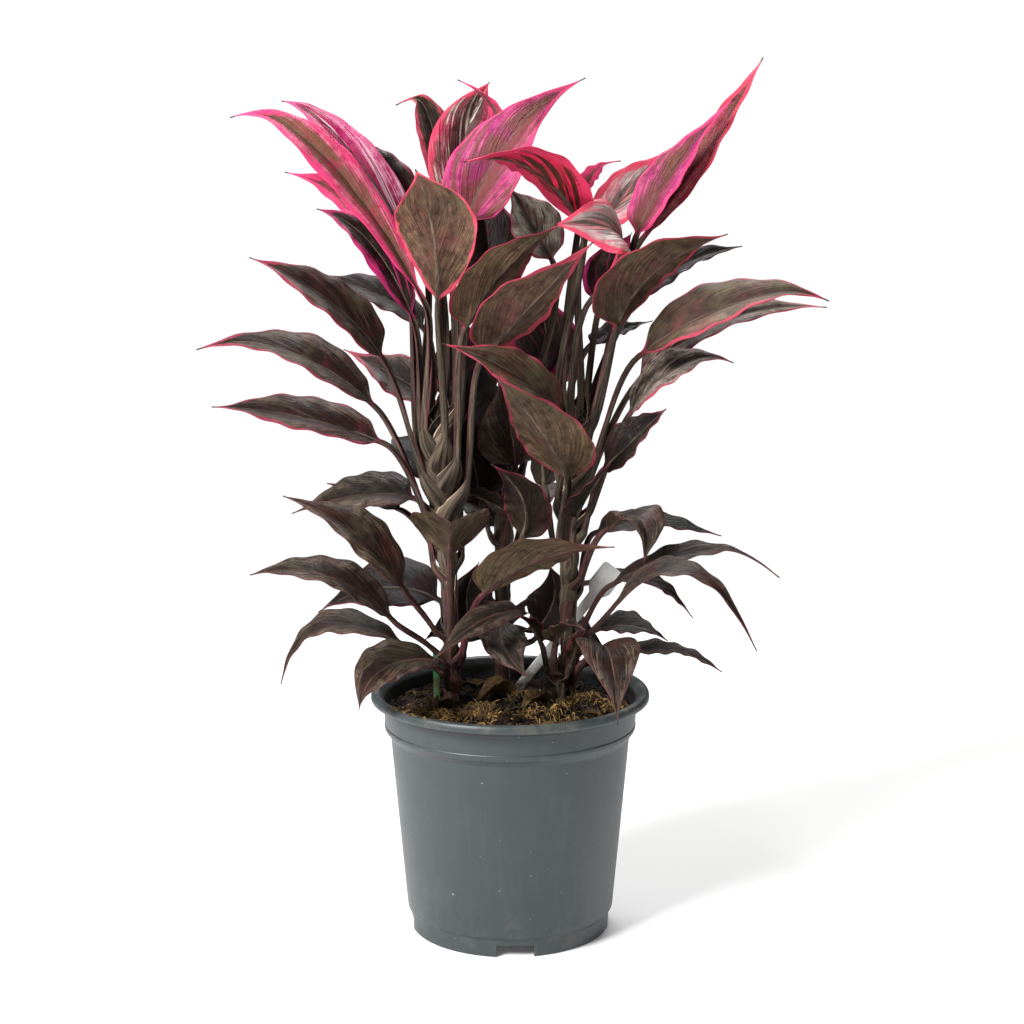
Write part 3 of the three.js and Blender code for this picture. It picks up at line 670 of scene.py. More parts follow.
class LeafFinish(Finish):
    """The finish of one kind of leaf, which reads where a point lies on the leaf.

    The vein number is along - 0.75 |across|, which is steady along a side vein as it sweeps
    from the midrib towards the tip. Noise that is stretched along it gives fine streaks, a
    core zone, broad bands and short flecks. The streaks and the speckle calm down at the tip.
    """

    VEIN_SLOPE = 0.75
    SPECKLE = "160c0a"
    STALK_SHADE = "2a221d"
    PETIOLE_EDGE = "5e3238"
    SHEATH_EDGE = "c4ad92"
    DRY_TIP = "3b2c22"
    DEEP_SHADE = "100808"

    def __init__(self, name: str, paint: LeafPaint) -> None:
        """Starts the material and reads the leaf's own numbers and noises.

        Args:
            name: The material's name.
            paint: Its colours.
        """
        super().__init__(name)
        self.paint = paint
        self.along, self.across = self.attribute("along"), self.attribute("across")
        self.upper, self.shift = self.attribute("upper"), self.attribute("shift")
        self.reach = self.maths("ABSOLUTE", self.across)
        self.vein = self.scaled(self.reach, -self.VEIN_SLOPE, self.along)
        self.half = self.scaled(self.maths("SIGN", self.across), 3.1, self.shift)
        self.where = self.place()
        calm = self.step(self.along, 0.97, 0.72)
        self.fine = self.between(calm, 0.5, self.streaks(self.vein, 38, 5.0, 4))
        self.middle = self.between(calm, 0.5, self.streaks(self.vein, 15, 3.5, 3))
        grit = self.noise(self.where, scale=150, detail=4, rough=0.7)
        self.mottle = self.between(calm, 0.5, grit)

    def streaks(
        self, number: Socket, fine: float, drift: float, detail: float, rough: float = 0.6
    ) -> Socket:
        """Noise drawn out along the leaf, and another one on each half of the blade.

        Args:
            number: What the streaks lie across: the vein number or the place across.
            fine: Streaks to a unit of that number.
            drift: Changes along the length of the blade.
            detail: Octaves.
            rough: How much each octave adds.

        Returns:
            The noise's value.
        """
        where = self.vector(self.times(number, fine), self.times(self.along, drift), self.half)
        return self.noise(where, detail=detail, rough=rough)

    def faces(self) -> Socket:
        """Both faces, each with its streaks, core zone and bands.

        Returns:
            The colour.
        """
        paint = self.paint
        hair = self.step(self.between(0.4, self.fine, self.mottle), 0.42, 0.62)
        core_edge = self.scaled(self.maths("SUBTRACT", self.middle, 0.5), 1.3, self.reach)
        core = self.step(core_edge, paint.core_reach + 0.12, paint.core_reach - 0.12)
        threshold = 0.64 - 0.22 * paint.band_share
        broad = self.between(0.35, self.streaks(self.vein, 8, 1.6, 2), self.middle)
        bands = self.step(broad, threshold, threshold + 0.06)
        top = self.mix(hair, linear(paint.top), linear(paint.top_streak))
        top = self.tinted(top, core, 0.85, paint.core)
        top = self.tinted(top, bands, 0.9, paint.band)
        under = self.mix(hair, linear(paint.under), linear(paint.under_streak))
        under = self.tinted(under, self.step(self.middle, 0.7, 0.3), 0.5, paint.top)
        under = self.tinted(under, core, 0.35, paint.core)
        under = self.tinted(under, bands, paint.under_bands, paint.band)
        return self.mix(self.upper, under, top)

    def clouded(self, colour: Socket) -> Socket:
        """Lays clouds of flush and olive, dark speckle and bright flecks over the blade.

        Args:
            colour: The colour of the faces.

        Returns:
            The colour with its marks.
        """
        paint = self.paint
        cloud = self.noise(self.where, scale=38, detail=3, rough=0.55)
        colour = self.tinted(colour, self.step(cloud, 0.52, 0.68), 0.5, paint.flush)
        colour = self.tinted(colour, self.step(cloud, 0.47, 0.33), 0.45, paint.olive)
        colour = self.tinted(colour, self.step(self.mottle, 0.5, 0.3), paint.spots, self.SPECKLE)
        fleck = self.step(self.streaks(self.vein, 60, 16, 1, 0.5), 0.72, 0.8)
        return self.tinted(colour, fleck, 0.5, paint.margin)

    def edged(self, colour: Socket) -> Socket:
        """Lays the margin's colour where the distance to the edge is small.

        Its width drifts along the edge, and blooms inwards in broad patches.

        Args:
            colour: The colour of the blade.

        Returns:
            The colour with its margin.
        """
        width = self.paint.margin_width
        along_edge = self.vector(self.times(self.along, 9.0), self.half, 0.0)
        drift = self.maths("SUBTRACT", self.noise(along_edge, detail=3, rough=0.6), 0.5)
        bloom = self.step(self.noise(self.where, scale=22, detail=2), 0.42, 0.72)
        edge = self.scaled(drift, width * 3.5, self.attribute("rim"))
        edge = self.scaled(bloom, -1.8 * width, edge)
        margin = self.step(edge, width * 1.5, width * 0.6)
        return self.tinted(colour, margin, 0.9, self.paint.margin)

    def stalked(self, colour: Socket) -> Socket:
        """Lays the midrib, which fades near the tip, the petiole and the dry tip.

        Args:
            colour: The colour of the blade.

        Returns:
            The colour of the whole leaf.
        """
        grain = self.step(self.streaks(self.across, 5.0, 6.0, 3, 0.65), 0.3, 0.7)
        stalk = self.mix(grain, linear(self.STALK_SHADE), linear(self.paint.rib))
        clasp = self.step(self.along, -0.99, -1.03)
        brim = self.mix(clasp, linear(self.PETIOLE_EDGE), linear(self.SHEATH_EDGE))
        stalk = self.mix(self.step(self.reach, 0.93, 0.98), stalk, brim)
        rib = self.step(self.attribute("rib"), 1.15, 0.6)
        colour = self.mix(self.times(rib, self.step(self.along, 0.92, 0.8)), colour, stalk)
        colour = self.mix(self.step(self.along, 0.03, -0.01), colour, stalk)
        return self.mix(self.step(self.along, 0.965, 0.985), colour, linear(self.DRY_TIP))

    def layered(self) -> bpy.types.Material:
        """Lays all the colours, with the gloss and the relief, and a shade for each leaf.

        Returns:
            The material.
        """
        colour = self.stalked(self.edged(self.clouded(self.faces())))
        own_place = self.vector(self.shift, self.times(self.along, 0.8), 0.0)
        own = self.step(self.noise(own_place, scale=1.7, detail=1), 0.6, 0.3)
        colour = self.tinted(colour, own, 0.35, self.DEEP_SHADE)
        gloss = self.scaled(self.middle, 0.24, self.paint.gloss - 0.12)
        dull = self.scaled(self.middle, 0.2, 0.5)
        self.surface(colour, self.between(self.upper, dull, gloss))
        self.shader.inputs["Specular IOR Level"].default_value = 0.22
        height = self.scaled(self.fine, 0.6, self.times(self.middle, 0.9))
        self.relief(self.scaled(self.mottle, 0.5, height), 0.0016)
        return self.material


@dataclass(frozen=True)
class CaneAxis:
    """Where a cane stands.

    Attributes:
        foot: The axis point at the soil.
        top: The axis point at the crown.
        bow: The sideways bow halfway up.
        foot_radius: The radius near the soil.
        top_radius: The radius near the crown.
        sheath: How far the sheaths on it reach below their leaves' nodes.
        depth: How far its own stem reaches into the soil.
        scar_gap: The gap between the rings of old leaf scars.
    """

    foot: Triple
    top: Triple
    bow: Pair
    foot_radius: float
    top_radius: float
    sheath: float = 46.0
    depth: float = 55.0
    scar_gap: float = 7.0

    def at(self, height: Array | float) -> Array:
        """Axis points: a straight line with a bow of 4t(1 - t).

        Args:
            height: The points' heights.

        Returns:
            One point for each height.
        """
        height = np.asarray(height, dtype=float)
        t = (height - self.foot[2]) / (self.top[2] - self.foot[2])
        bow = np.where(t > 0, 4 * t * (1 - t), 0.0)
        t = np.maximum(t, 0)
        x = lerp(self.foot[0], self.top[0], t) + self.bow[0] * bow
        y = lerp(self.foot[1], self.top[1], t) + self.bow[1] * bow
        return np.stack([x, y, height], axis=-1)

    def radius(self, height: Array | float) -> Array:
        """The radius at given heights, swelling between 0.45 and 0.75 of the way up."""
        t = (np.asarray(height, dtype=float) - self.foot[2]) / (self.top[2] - self.foot[2])
        return lerp(self.foot_radius, self.top_radius, smoothstep(np.clip(t, 0, 1), 0.45, 0.75))

    def stem(self) -> Shell:
        """The cane's own stem under its sheaths, with the rings of old leaf scars.

        The radius is the cane's less the sheaths. It swells by a quarter of a millimetre over
        each scar, as a high power of a sine, and narrows above the crown.

        Returns:
            The closed shell.
        """
        height = np.linspace(self.foot[2] - self.depth, self.top[2] + 10, 150)
        axis = self.at(np.minimum(height, self.top[2]))
        axis[:, 2] = height
        scar = 0.25 * np.abs(np.sin(np.pi * height / self.scar_gap)) ** 6
        taper = lerp(1, 0.35, smoothstep(height, self.top[2] - 4, self.top[2] + 10))
        radius = (self.radius(height) - 1.4 + scar) * taper
        return tube(axis[:, None] + radius[:, None, None] * ray(turns(28))[None])


CANES = {
    "left": CaneAxis((-44, 14, 170), (-54, 0, 372), (3, -1), 6.5, 9.5),
    "right": CaneAxis((44, 30, 170), (47, 14, 372), (-1, 1), 6.5, 9),
    "back": CaneAxis((-6, 72, 170), (-2, 62, 350), (-2, 1), 6, 8),
    "shoot": CaneAxis((35, 8, 170), (37, 6, 200), (0, 0), 3.6, 3, sheath=14.0),
}

PETIOLE_STATIONS = np.linspace(-1, 0, 15)[:-1]
BLADE_STATIONS = np.concatenate(
    [np.linspace(0, SPREAD_END, 9), np.linspace(SPREAD_END, 1, 40)[1:]]
)
HALF_COLUMNS = np.array([0.03, 0.08, 0.16, 0.27, 0.4, 0.54, 0.68, 0.8, 0.9, 0.965, 1.0])
COLUMNS = np.concatenate([-HALF_COLUMNS[::-1], [0.0], HALF_COLUMNS])


@dataclass(frozen=True)
class Leaf:
    """One leaf: a clasping sheath, a channelled petiole and a folded, waved blade.

    Attributes:
        name: Its name, which is its node's where it isn't fused.
        cane: The cane that it grows from.
        node: The height where the petiole leaves the cane.
        side: The compass angle of that side of the cane.
        base: Where the blade begins.
        bend: The blade's middle.
        tip: The blade's end.
        width: The blade's width.
        widest: The power that sets where the blade is widest.
        heading: The compass angle the blade faces away from, or None for the way it runs.
        roll: The turn of the blade about its run, in degrees.
        twist: The further turn from its base to its tip, in degrees.
        fold: How far each half is folded up, in degrees.
        wave: The height of the waves in its edges.
        hook: How far the last part of the tip is drawn aside.
        tone: Its kind.
        fused: True where it is one piece with its cane.
    """

    name: str
    cane: str
    node: float
    side: float
    base: Triple
    bend: Triple
    tip: Triple
    width: float
    widest: float = 0.72
    heading: float | None = None
    roll: float = 0
    twist: float = 0
    fold: float = 18
    wave: float = 1.5
    hook: Triple = (0, 0, 0)
    tone: Tone = Tone.BRONZE
    fused: bool = False

    def path(self, along: Array) -> Array:
        """Points of the leaf's centre line.

        From -1 to 0 it is a cubic Bezier curve, the petiole, whose first fifth is sunk in the
        cane so that it comes out of its sheath without a step. From 0 to 1 it is the
        quadratic curve through base, bend and tip, drawn aside by the hook times the square
        of the way from the hook's start to the tip.

        Args:
            along: Places on the line.

        Returns:
            One point for each place.
        """
        base, bend, tip = (np.array(end, dtype=float) for end in (self.base, self.bend, self.tip))
        pull = 2 * bend - (base + tip) / 2
        t = np.clip(along, 0, 1)[:, None]
        blade = (1 - t) ** 2 * base + 2 * t * (1 - t) * pull + t**2 * tip
        drawn = np.clip((t - HOOK_START) / (1 - HOOK_START), 0, 1) ** 2
        blade = blade + np.array(self.hook) * drawn
        cane = CANES[self.cane]
        heading = compass(self.side)
        start = cane.at(self.node) + heading * (cane.radius(self.node) + PETIOLE_STANDOFF)
        rise = UP * math.cos(PETIOLE_LEAN) + heading * math.sin(PETIOLE_LEAN)
        reach = np.linalg.norm(base - start)
        leaving = start + rise * reach * PETIOLE_RISE
        arriving = base - unit(pull - base) * reach * PETIOLE_TURN
        s = np.clip(along + 1, 0, 1)[:, None]
        weights = ((1 - s) ** 3, 3 * s * (1 - s) ** 2, 3 * s**2 * (1 - s), s**3)
        ends = (start, leaving, arriving, base)
        petiole = sum(weight * end for weight, end in zip(weights, ends))
        sunk = (PETIOLE_STANDOFF + PETIOLE_SINK) * (1 - smoothstep(s, 0, 0.2))
        return np.where(along[:, None] >= 0, blade, petiole - heading * sunk)

    def frame(self, along: Array) -> tuple[Array, Array, Array]:
        """The centre line with its two cross directions.

        The side direction is square to the run and to the heading, which turns from the
        cane's side to the blade's heading along the petiole. Both cross directions are then
        rolled about the run.

        Args:
            along: Places on the line.

        Returns:
            The points, the directions to the right and those out of the upper face.
        """
        point = self.path(along)
        run = unit(self.path(np.minimum(along + 0.01, 1)) - self.path(np.maximum(along - 0.01, -1)))
        out = math.degrees(math.atan2(self.tip[1] - self.base[1], self.tip[0] - self.base[0]))
        heading = out if self.heading is None else self.heading
        away = (heading - self.side + 180) % 360 - 180
        settled = smoothstep(along, -1, 0)
        side = np.cross(compass(self.side + away * settled), UP)
        side = unit(side - run * dot(side, run))
        face = np.cross(side, run)
        turn = np.radians(self.roll * settled + self.twist * np.maximum(along, 0))
        return point, turned(side, run, turn), turned(face, run, turn)

    def half_width(self, t: Array) -> Array:
        """Half the blade's width: sin(pi t^widest) to a power that grows from 0.75 to 1.5."""
        swell = np.sin(np.pi * np.clip(t, 0, 1) ** self.widest).clip(0) ** (0.75 + 0.75 * t)
        return np.maximum(self.width / 2 * swell, 0.3)

    def uneven(self, t: Array, u: Array, phase: float) -> Array:
        """How the blade's upper face waves and puckers.

        The waves and the finer ripples are sines along the blade that grow with a power of
        the place across it, and the quilting is a small sine of the vein number.

        Args:
            t: Places along the blade, 0 to 1.
            u: Places across it, -1 to 1.
            phase: Where the waves begin, as a share of a wave.

        Returns:
            Heights on the grid.
        """
        across = np.abs(u)
        envelope = np.sin(np.pi * t) * self.wave
        start = np.where(u > 0, phase + EDGE_LEAD, phase)
        waves = envelope * np.sin(2 * np.pi * (EDGE_WAVES * t + start)) * across**1.6
        fine = np.sin(2 * np.pi * (EDGE_RIPPLES * t + 2.7 * start)) * across**3
        folds = np.sin(2 * np.pi * (QUILT_FOLDS * (t - 0.3 * across) + phase))
        quilt = 0.35 * np.sin(np.pi * t) * folds * np.sin(np.pi * across)
        return waves + 0.7 * envelope * fine + quilt

    def blade(self, shift: float, phase: float) -> Shell:
        """The petiole and blade as one closed shell.

        Across a station, the upper face is a V with a rounded channel, arched halves, waves
        that grow towards the edge and a small downward roll of the edge itself. The lower
        face is that less the thickness and a round keel. In the petiole both turn into a
        crescent: a shallow channel over a half round.

        Args:
            shift: This leaf's own place in the noise.
            phase: Where the waves in its edges begin, as a share of a wave.

        Returns:
            The shell with the values that the leaf finishes read.
        """
        along = np.concatenate([PETIOLE_STATIONS, BLADE_STATIONS])
        point, side, face = self.frame(along)
        t = np.maximum(along, 0)[:, None]
        u = COLUMNS[None, :]
        across = np.abs(u)
        spread = smoothstep(t, 0, SPREAD_END)
        stalk = lerp(PETIOLE_BASE_RADIUS, PETIOLE_TOP_RADIUS, np.minimum(along + 1, 1))[:, None]
        half = np.maximum(self.half_width(t) * spread, stalk * (1 - spread))

        # The V with its rounded channel, then the arch of each half less the edge's roll
        folded = half * math.tan(math.radians(self.fold)) * (np.sqrt(u**2 + 0.004) - 0.063)
        arch = half * (0.09 * np.sin(np.pi * across) - 0.06 * across**8)
        blade_top = 0.55 + folded + arch + self.uneven(t, u, phase)
        # The keel under the midrib is an ellipse that shrinks towards the tip
        keel_half = np.maximum(stalk * (1 - t) ** 1.5, 0.8)
        keel = stalk * (1 - t) ** 2 * np.sqrt(np.clip(1 - (u * half / keel_half) ** 2, 0, 1))
        blade_bottom = blade_top - BLADE_THICKNESS + 0.55 * across**6 - keel
        petiole_top = stalk * (0.6 * u**2 - 0.15)
        petiole_bottom = stalk * (0.42 - 1.42 * np.sqrt(1 - u**2))
        top = lerp(petiole_top, blade_top, spread)
        bottom = np.minimum(lerp(petiole_bottom, blade_bottom, spread), top - 0.05)

        middle = point[:, None] + side[:, None] * (u * half)[..., None]
        upper = middle + face[:, None] * top[..., None]
        lower = middle + face[:, None] * bottom[..., None]
        flat = np.ones_like(top)
        rib = across * half / np.maximum(keel_half, 1.0)
        far_from_edge = 20 * (1 - smoothstep(along, -0.02, 0.02))[:, None]
        values = {
            "along": both(flat * along[:, None]),
            "across": both(flat * u),
            "rim": both((1 - across) * half + far_from_edge),
            "rib": np.stack([2 * rib, rib]),
            "shift": both(flat * shift),
            "upper": np.stack([flat, 0 * flat]),
        }
        return ribbon(upper, lower, values)

    def sheath(self, shift: float) -> Shell:
        """The clasping foot of the petiole.

        It is a tapered wrap. Low down it goes nearly round the cane. Going up, its centre
        moves from the cane's axis to the petiole's, its open edges draw apart round to the
        leaf's side, and its back stays on the petiole's back: radius = reach of the petiole
        beyond the centre + the petiole's own radius. It ends sunk in the petiole, about half
        of the way up to the petiole's middle.

        Args:
            shift: This leaf's own place in the noise.

        Returns:
            The closed shell.
        """
        cane = CANES[self.cane]
        risen = float(self.path(np.array([-0.5]))[0, 2]) - self.node
        climb = float(np.clip(SHEATH_SHARE * risen, *SHEATH_CLIMB))
        v = np.linspace(0, 1, 30)
        height = self.node - cane.sheath + (cane.sheath + climb) * v
        height = np.maximum(height, SHEATH_FLOOR + 4 * v)
        line = self.path(np.linspace(-1, -0.2, 80))
        stalk = np.stack([np.interp(height, line[:, 2], line[:, k]) for k in range(3)], axis=-1)
        stalk[:, 2] = height
        v = v[:, None]
        merge = smoothstep(v, 0.5, 1.0)
        axis = cane.at(height)
        centre = lerp(axis, stalk, merge)
        reach = np.linalg.norm(stalk - axis, axis=1)[:, None]
        # Low down it hugs the stem, further up it stands off, and it ends sunk in the petiole
        round_cane = cane.radius(height)[:, None] - 1.1 + 1.5 * v
        on_stalk = PETIOLE_BASE_RADIUS + lerp(0.2, -0.9, smoothstep(v, 0.8, 1))
        radius = lerp(round_cane, reach * (1 - merge) + on_stalk, smoothstep(v, 0.4, 0.62))
        w = np.linspace(-1, 1, 25)[None, :]
        open_half = np.radians(lerp(172, 84, v**1.3))
        rays = ray(math.radians(self.side) + w * open_half)
        thick = 0.55 * (1 - 0.6 * np.abs(w) ** 3) * (1 - 0.5 * merge)
        flat = np.ones_like(thick)
        outer = centre[:, None] + rays * (radius * flat)[..., None]
        inner = centre[:, None] + rays * (radius - thick)[..., None]
        spot = {
            "along": flat * (-1.3 + 0.3 * v),
            "across": flat * w,
            "rim": flat * 20,
            "rib": flat * 3,
            "shift": flat * shift,
            "upper": flat * 0,
        }
        return ribbon(outer, inner, {name: both(grid) for name, grid in spot.items()})


LEAVES = [
    # Crown of the left cane
    Leaf("crown_left_1", "left", 352, 222, (-62, -14, 476), (-130, -18, 577), (-197, -8, 617),
         width=31, widest=0.85, roll=-48, hook=(-3, 0, -10), tone=Tone.PINK),
    Leaf("crown_left_2", "left", 364, 148, (-64, 22, 498), (-122, 46, 587), (-169, 46, 619),
         width=32, widest=0.62, roll=-55, tone=Tone.ROSE),
    Leaf("crown_left_3", "left", 338, 188, (-79, 12, 499), (-116, 20, 545), (-164, 12, 568),
         width=28, widest=0.8, roll=-45, tone=Tone.PINK),
    Leaf("crown_left_5", "left", 346, 288, (-52, -29, 474), (-54, -50, 527), (-66, -58, 572),
         width=66, widest=1.15, fold=12, tone=Tone.BROWN),
    Leaf("crown_left_6", "left", 356, 80, (-62, 58, 517), (-98, 66, 568), (-115, 70, 583),
         width=38, roll=-40),
    Leaf("crown_left_7", "left", 370, 76, (-52, 40, 550), (-59, 52, 603), (-76, 56, 627),
         width=26, roll=-40, hook=(-9, 2, -11), tone=Tone.BROWN),
    Leaf("crown_centre_1", "left", 366, 42, (-43, 24, 535), (-32, 34, 597), (-15, 34, 633),
         width=50, heading=100, fold=10, tone=Tone.STRIPED),
    Leaf("crown_centre_2", "left", 372, 16, (-22, 12, 560), (-8, 16, 604), (-38, 14, 634),
         width=14, roll=60, fused=True, tone=Tone.PINK),
    Leaf("crown_centre_3", "left", 360, 335, (-32, -6, 530), (-4, -8, 587), (47, -8, 636),
         width=56, widest=0.58, roll=66, hook=(7, 0, -1), tone=Tone.MAGENTA),
    Leaf("crown_centre_4", "right", 366, 205, (52, -10, 528), (17, -60, 571), (-32, -70, 577),
         width=46, roll=18, tone=Tone.CRIMSON),
    Leaf("crown_centre_5", "right", 350, 262, (59, -6, 477), (78, -28, 523), (29, -54, 533),
         width=48, widest=1.4, roll=-35, twist=-40, fold=8, wave=1, tone=Tone.CREAM),
    Leaf("crown_centre_6", "back", 344, 62, (32, 58, 500), (15, 62, 531), (-1, 66, 555),
         width=42, roll=-50, tone=Tone.GREY),
    Leaf("crown_centre_7", "back", 342, 104, (-10, 80, 470), (-18, 94, 520), (-22, 108, 556),
         width=60, tone=Tone.WINE),
    Leaf("front_centre_1", "left", 330, 312, (-33, -26, 457), (-6, -44, 498), (36, -50, 534),
         width=52, roll=-25, tone=Tone.KHAKI),
    Leaf("front_centre_2", "left", 312, 345, (-19, -30, 438), (15, -56, 477), (58, -66, 522),
         width=60, roll=-25, tone=Tone.BROWN),
    # Crown of the right cane
    Leaf("crown_right_1", "right", 362, 340, (91, -6, 522), (117, -4, 570), (161, -2, 621),
         width=34, widest=0.6, roll=42, tone=Tone.MAGENTA),
    Leaf("crown_right_2", "right", 368, 20, (96, 12, 519), (145, 14, 587), (183, 16, 650),
         width=32, roll=35, tone=Tone.SALMON),
    Leaf("crown_right_3", "right", 372, 62, (62, 34, 528), (92, 40, 555), (128, 44, 589),
         width=38, roll=55, tone=Tone.CREAM),
    Leaf("crown_right_4", "right", 338, 300, (76, -16, 456), (102, -34, 498), (154, -40, 526),
         width=68, roll=-25, tone=Tone.BROWN),
    Leaf("crown_right_5", "right", 320, 88, (95, 46, 471), (130, 50, 498), (174, 52, 512),
         width=34, roll=25, fused=True, tone=Tone.DARK),
    Leaf("crown_right_6", "right", 372, 122, (54, 54, 545), (61, 60, 564), (77, 62, 577),
         width=14, roll=40, hook=(6, 0, -2), fused=True, tone=Tone.PINK),
    Leaf("right_1", "right", 326, 328, (93, -12, 436), (156, -26, 474), (226, -32, 488),
         width=54, roll=30, hook=(2, 0, -10), tone=Tone.KHAKI),
    Leaf("right_2", "right", 318, 40, (94, 28, 411), (156, 31, 457), (236, 32, 468),
         width=38, roll=30, tone=Tone.SILVER),
    Leaf("right_3", "right", 300, 5, (87, 4, 390), (120, -4, 426), (161, -8, 436),
         width=38, roll=32, hook=(2, 0, -5), tone=Tone.SILVER),
    Leaf("right_4", "right", 288, 325, (68, -10, 352), (92, -22, 378), (113, -28, 400),
         width=44, roll=40, tone=Tone.DARK),
    Leaf("right_5", "right", 332, 118, (61, 58, 437), (79, 66, 446), (109, 74, 454),
         width=22, roll=25, tone=Tone.DARK),
    # Left side
    Leaf("left_1", "left", 322, 222, (-92, -14, 434), (-131, -24, 478), (-186, -30, 509),
         width=48, roll=-36),
    Leaf("left_2", "left", 334, 138, (-64, 36, 451), (-100, 40, 477), (-154, 44, 491),
         width=36, roll=-28, tone=Tone.DARK),
    Leaf("left_3", "left", 306, 190, (-98, -2, 397), (-158, -8, 438), (-223, -12, 446),
         width=48, roll=-26, hook=(-5, 0, -5)),
    Leaf("left_4", "left", 290, 220, (-92, -16, 373), (-153, -22, 393), (-216, -26, 401),
         width=44, roll=-30),
    Leaf("left_5", "left", 314, 120, (-56, 38, 395), (-87, 52, 414), (-127, 66, 433),
         width=40, roll=-35),
    Leaf("left_6", "left", 282, 95, (-56, 36, 332), (-72, 64, 356), (-85, 102, 360),
         width=46, tone=Tone.DARK),
    # Front
    Leaf("front_1", "right", 306, 220, (39, -32, 393), (4, -50, 427), (-48, -54, 450),
         width=46, roll=-40, tone=Tone.KHAKI),
    Leaf("front_2", "right", 278, 222, (42, -28, 348), (24, -64, 386), (-14, -90, 436),
         width=58, roll=15),
    Leaf("front_3", "left", 200, 268, (-44, -24, 291), (-43, -54, 315), (-41, -98, 329),
         width=58, fold=32, tone=Tone.UMBER),
    Leaf("front_4", "left", 196, 310, (-21, -32, 262), (20, -60, 294), (74, -78, 308),
         width=56, roll=-28, tone=Tone.OLIVE),
    Leaf("front_5", "back", 190, 205, (-5, 2, 238), (-5, -22, 221), (15, -44, 202),
         width=38, fused=True, tone=Tone.UMBER),
    # Centre, behind
    Leaf("centre_1", "back", 300, 280, (4, 38, 346), (0, 34, 380), (-8, 34, 416),
         width=56, heading=100, tone=Tone.UMBER),
    Leaf("centre_2", "back", 262, 292, (8, 8, 296), (10, -6, 328), (-14, -18, 358),
         width=38, roll=20, tone=Tone.DARK),
    Leaf("centre_3", "back", 280, 222, (-22, 44, 318), (-28, 46, 352), (-32, 50, 392),
         width=50, heading=100, fused=True, tone=Tone.DARK),
    Leaf("centre_4", "left", 272, 25, (-32, 18, 330), (-12, 22, 321), (14, 25, 302),
         width=26, roll=-30, fused=True, tone=Tone.DARK),
    Leaf("centre_5", "back", 322, 30, (24, 78, 400), (28, 86, 440), (18, 90, 480),
         width=58, heading=80, tone=Tone.WINE),
    Leaf("centre_6", "back", 314, 190, (-28, 68, 390), (-36, 72, 424), (-38, 76, 462),
         width=54, heading=100, fused=True, tone=Tone.DARK),
    Leaf("centre_7", "back", 214, 320, (20, 60, 215), (34, 60, 240), (30, 56, 268),
         width=40, heading=80, fused=True, tone=Tone.DARK),
    Leaf("centre_8", "back", 206, 200, (-26, 62, 214), (-34, 58, 240), (-24, 54, 270),
         width=42, heading=100, fused=True, tone=Tone.DARK),
    Leaf("back_1", "back", 310, 90, (4, 100, 400), (2, 138, 432), (-2, 180, 412),
         width=56, tone=Tone.UMBER),
    Leaf("back_2", "back", 230, 80, (8, 98, 290), (14, 138, 310), (20, 182, 286), width=54),
    # Lower left
    Leaf("low_left_1", "left", 276, 134, (-82, 34, 314), (-111, 44, 324), (-140, 50, 332),
         width=26, roll=-20, fused=True, tone=Tone.DARK),
    Leaf("low_left_2", "left", 264, 186, (-71, 12, 327), (-111, 14, 329), (-163, 10, 316),
         width=44, roll=-30, tone=Tone.UMBER),
    Leaf("low_left_3", "left", 218, 200, (-78, -20, 264), (-113, -30, 308), (-165, -34, 337),
         width=50, roll=-30, tone=Tone.UMBER),
    Leaf("low_left_4", "left", 202, 215, (-85, -28, 242), (-134, -36, 278), (-189, -42, 280),
         width=44, roll=-22, tone=Tone.UMBER),
    Leaf("low_left_5", "left", 226, 130, (-54, 34, 244), (-98, 42, 252), (-148, 46, 232),
         width=54, roll=-34, tone=Tone.DARK),
    Leaf("low_left_6", "left", 190, 185, (-77, -2, 217), (-137, -6, 232), (-172, -14, 196),
         width=36, roll=-15, hook=(1, 0, -5), tone=Tone.UMBER),
    Leaf("low_left_7", "left", 180, 238, (-50, -24, 211), (-91, -60, 215), (-108, -84, 190),
         width=44, roll=-20, tone=Tone.UMBER),
    Leaf("low_left_8", "back", 208, 286, (10, -4, 245), (-23, -38, 244), (-57, -46, 216),
         width=22, roll=-40, tone=Tone.UMBER),
    # Lower right
    Leaf("low_right_1", "right", 262, 288, (48, -14, 318), (58, -32, 340), (73, -42, 363),
         width=36, roll=20, fused=True, tone=Tone.DARK),
    Leaf("low_right_2", "right", 254, 320, (70, -14, 308), (95, -32, 319), (96, -52, 290),
         width=42, tone=Tone.UMBER),
    Leaf("low_right_3", "right", 244, 30, (64, 28, 298), (108, 34, 303), (161, 40, 293),
         width=40, roll=12, tone=Tone.DARK),
    Leaf("low_right_4", "right", 214, 330, (74, 8, 261), (132, 6, 285), (192, 0, 289),
         width=32, roll=10, hook=(9, 0, -20), tone=Tone.UMBER),
    Leaf("low_right_5", "right", 200, 312, (75, -22, 251), (124, -40, 282), (175, -54, 242),
         width=36, roll=10, hook=(4, 0, -16), tone=Tone.UMBER),
    Leaf("low_right_6", "back", 222, 0, (70, 70, 252), (111, 72, 248), (143, 74, 221),
         width=32, roll=10, fused=True, tone=Tone.DARK),
    Leaf("low_right_7", "right", 188, 54, (61, 27, 221), (91, 20, 227), (119, 10, 218),
         width=30, roll=18, tone=Tone.DARK),
    Leaf("low_right_8", "right", 180, 92, (87, 44, 199), (126, 42, 202), (163, 36, 187),
         width=24, roll=12, tone=Tone.UMBER),
    Leaf("low_right_9", "right", 178, 285, (64, -26, 220), (72, -70, 226), (76, -106, 186),
         width=46, tone=Tone.UMBER),
    # Basal shoots
    Leaf("shoot_1", "shoot", 190, 230, (34, -6, 220), (40, -20, 236), (56, -32, 236),
         width=26, fused=True, tone=Tone.UMBER),
    Leaf("shoot_2", "shoot", 188, 20, (46, 6, 202), (50, 2, 216), (52, -2, 230),
         width=14, heading=270, fused=True),
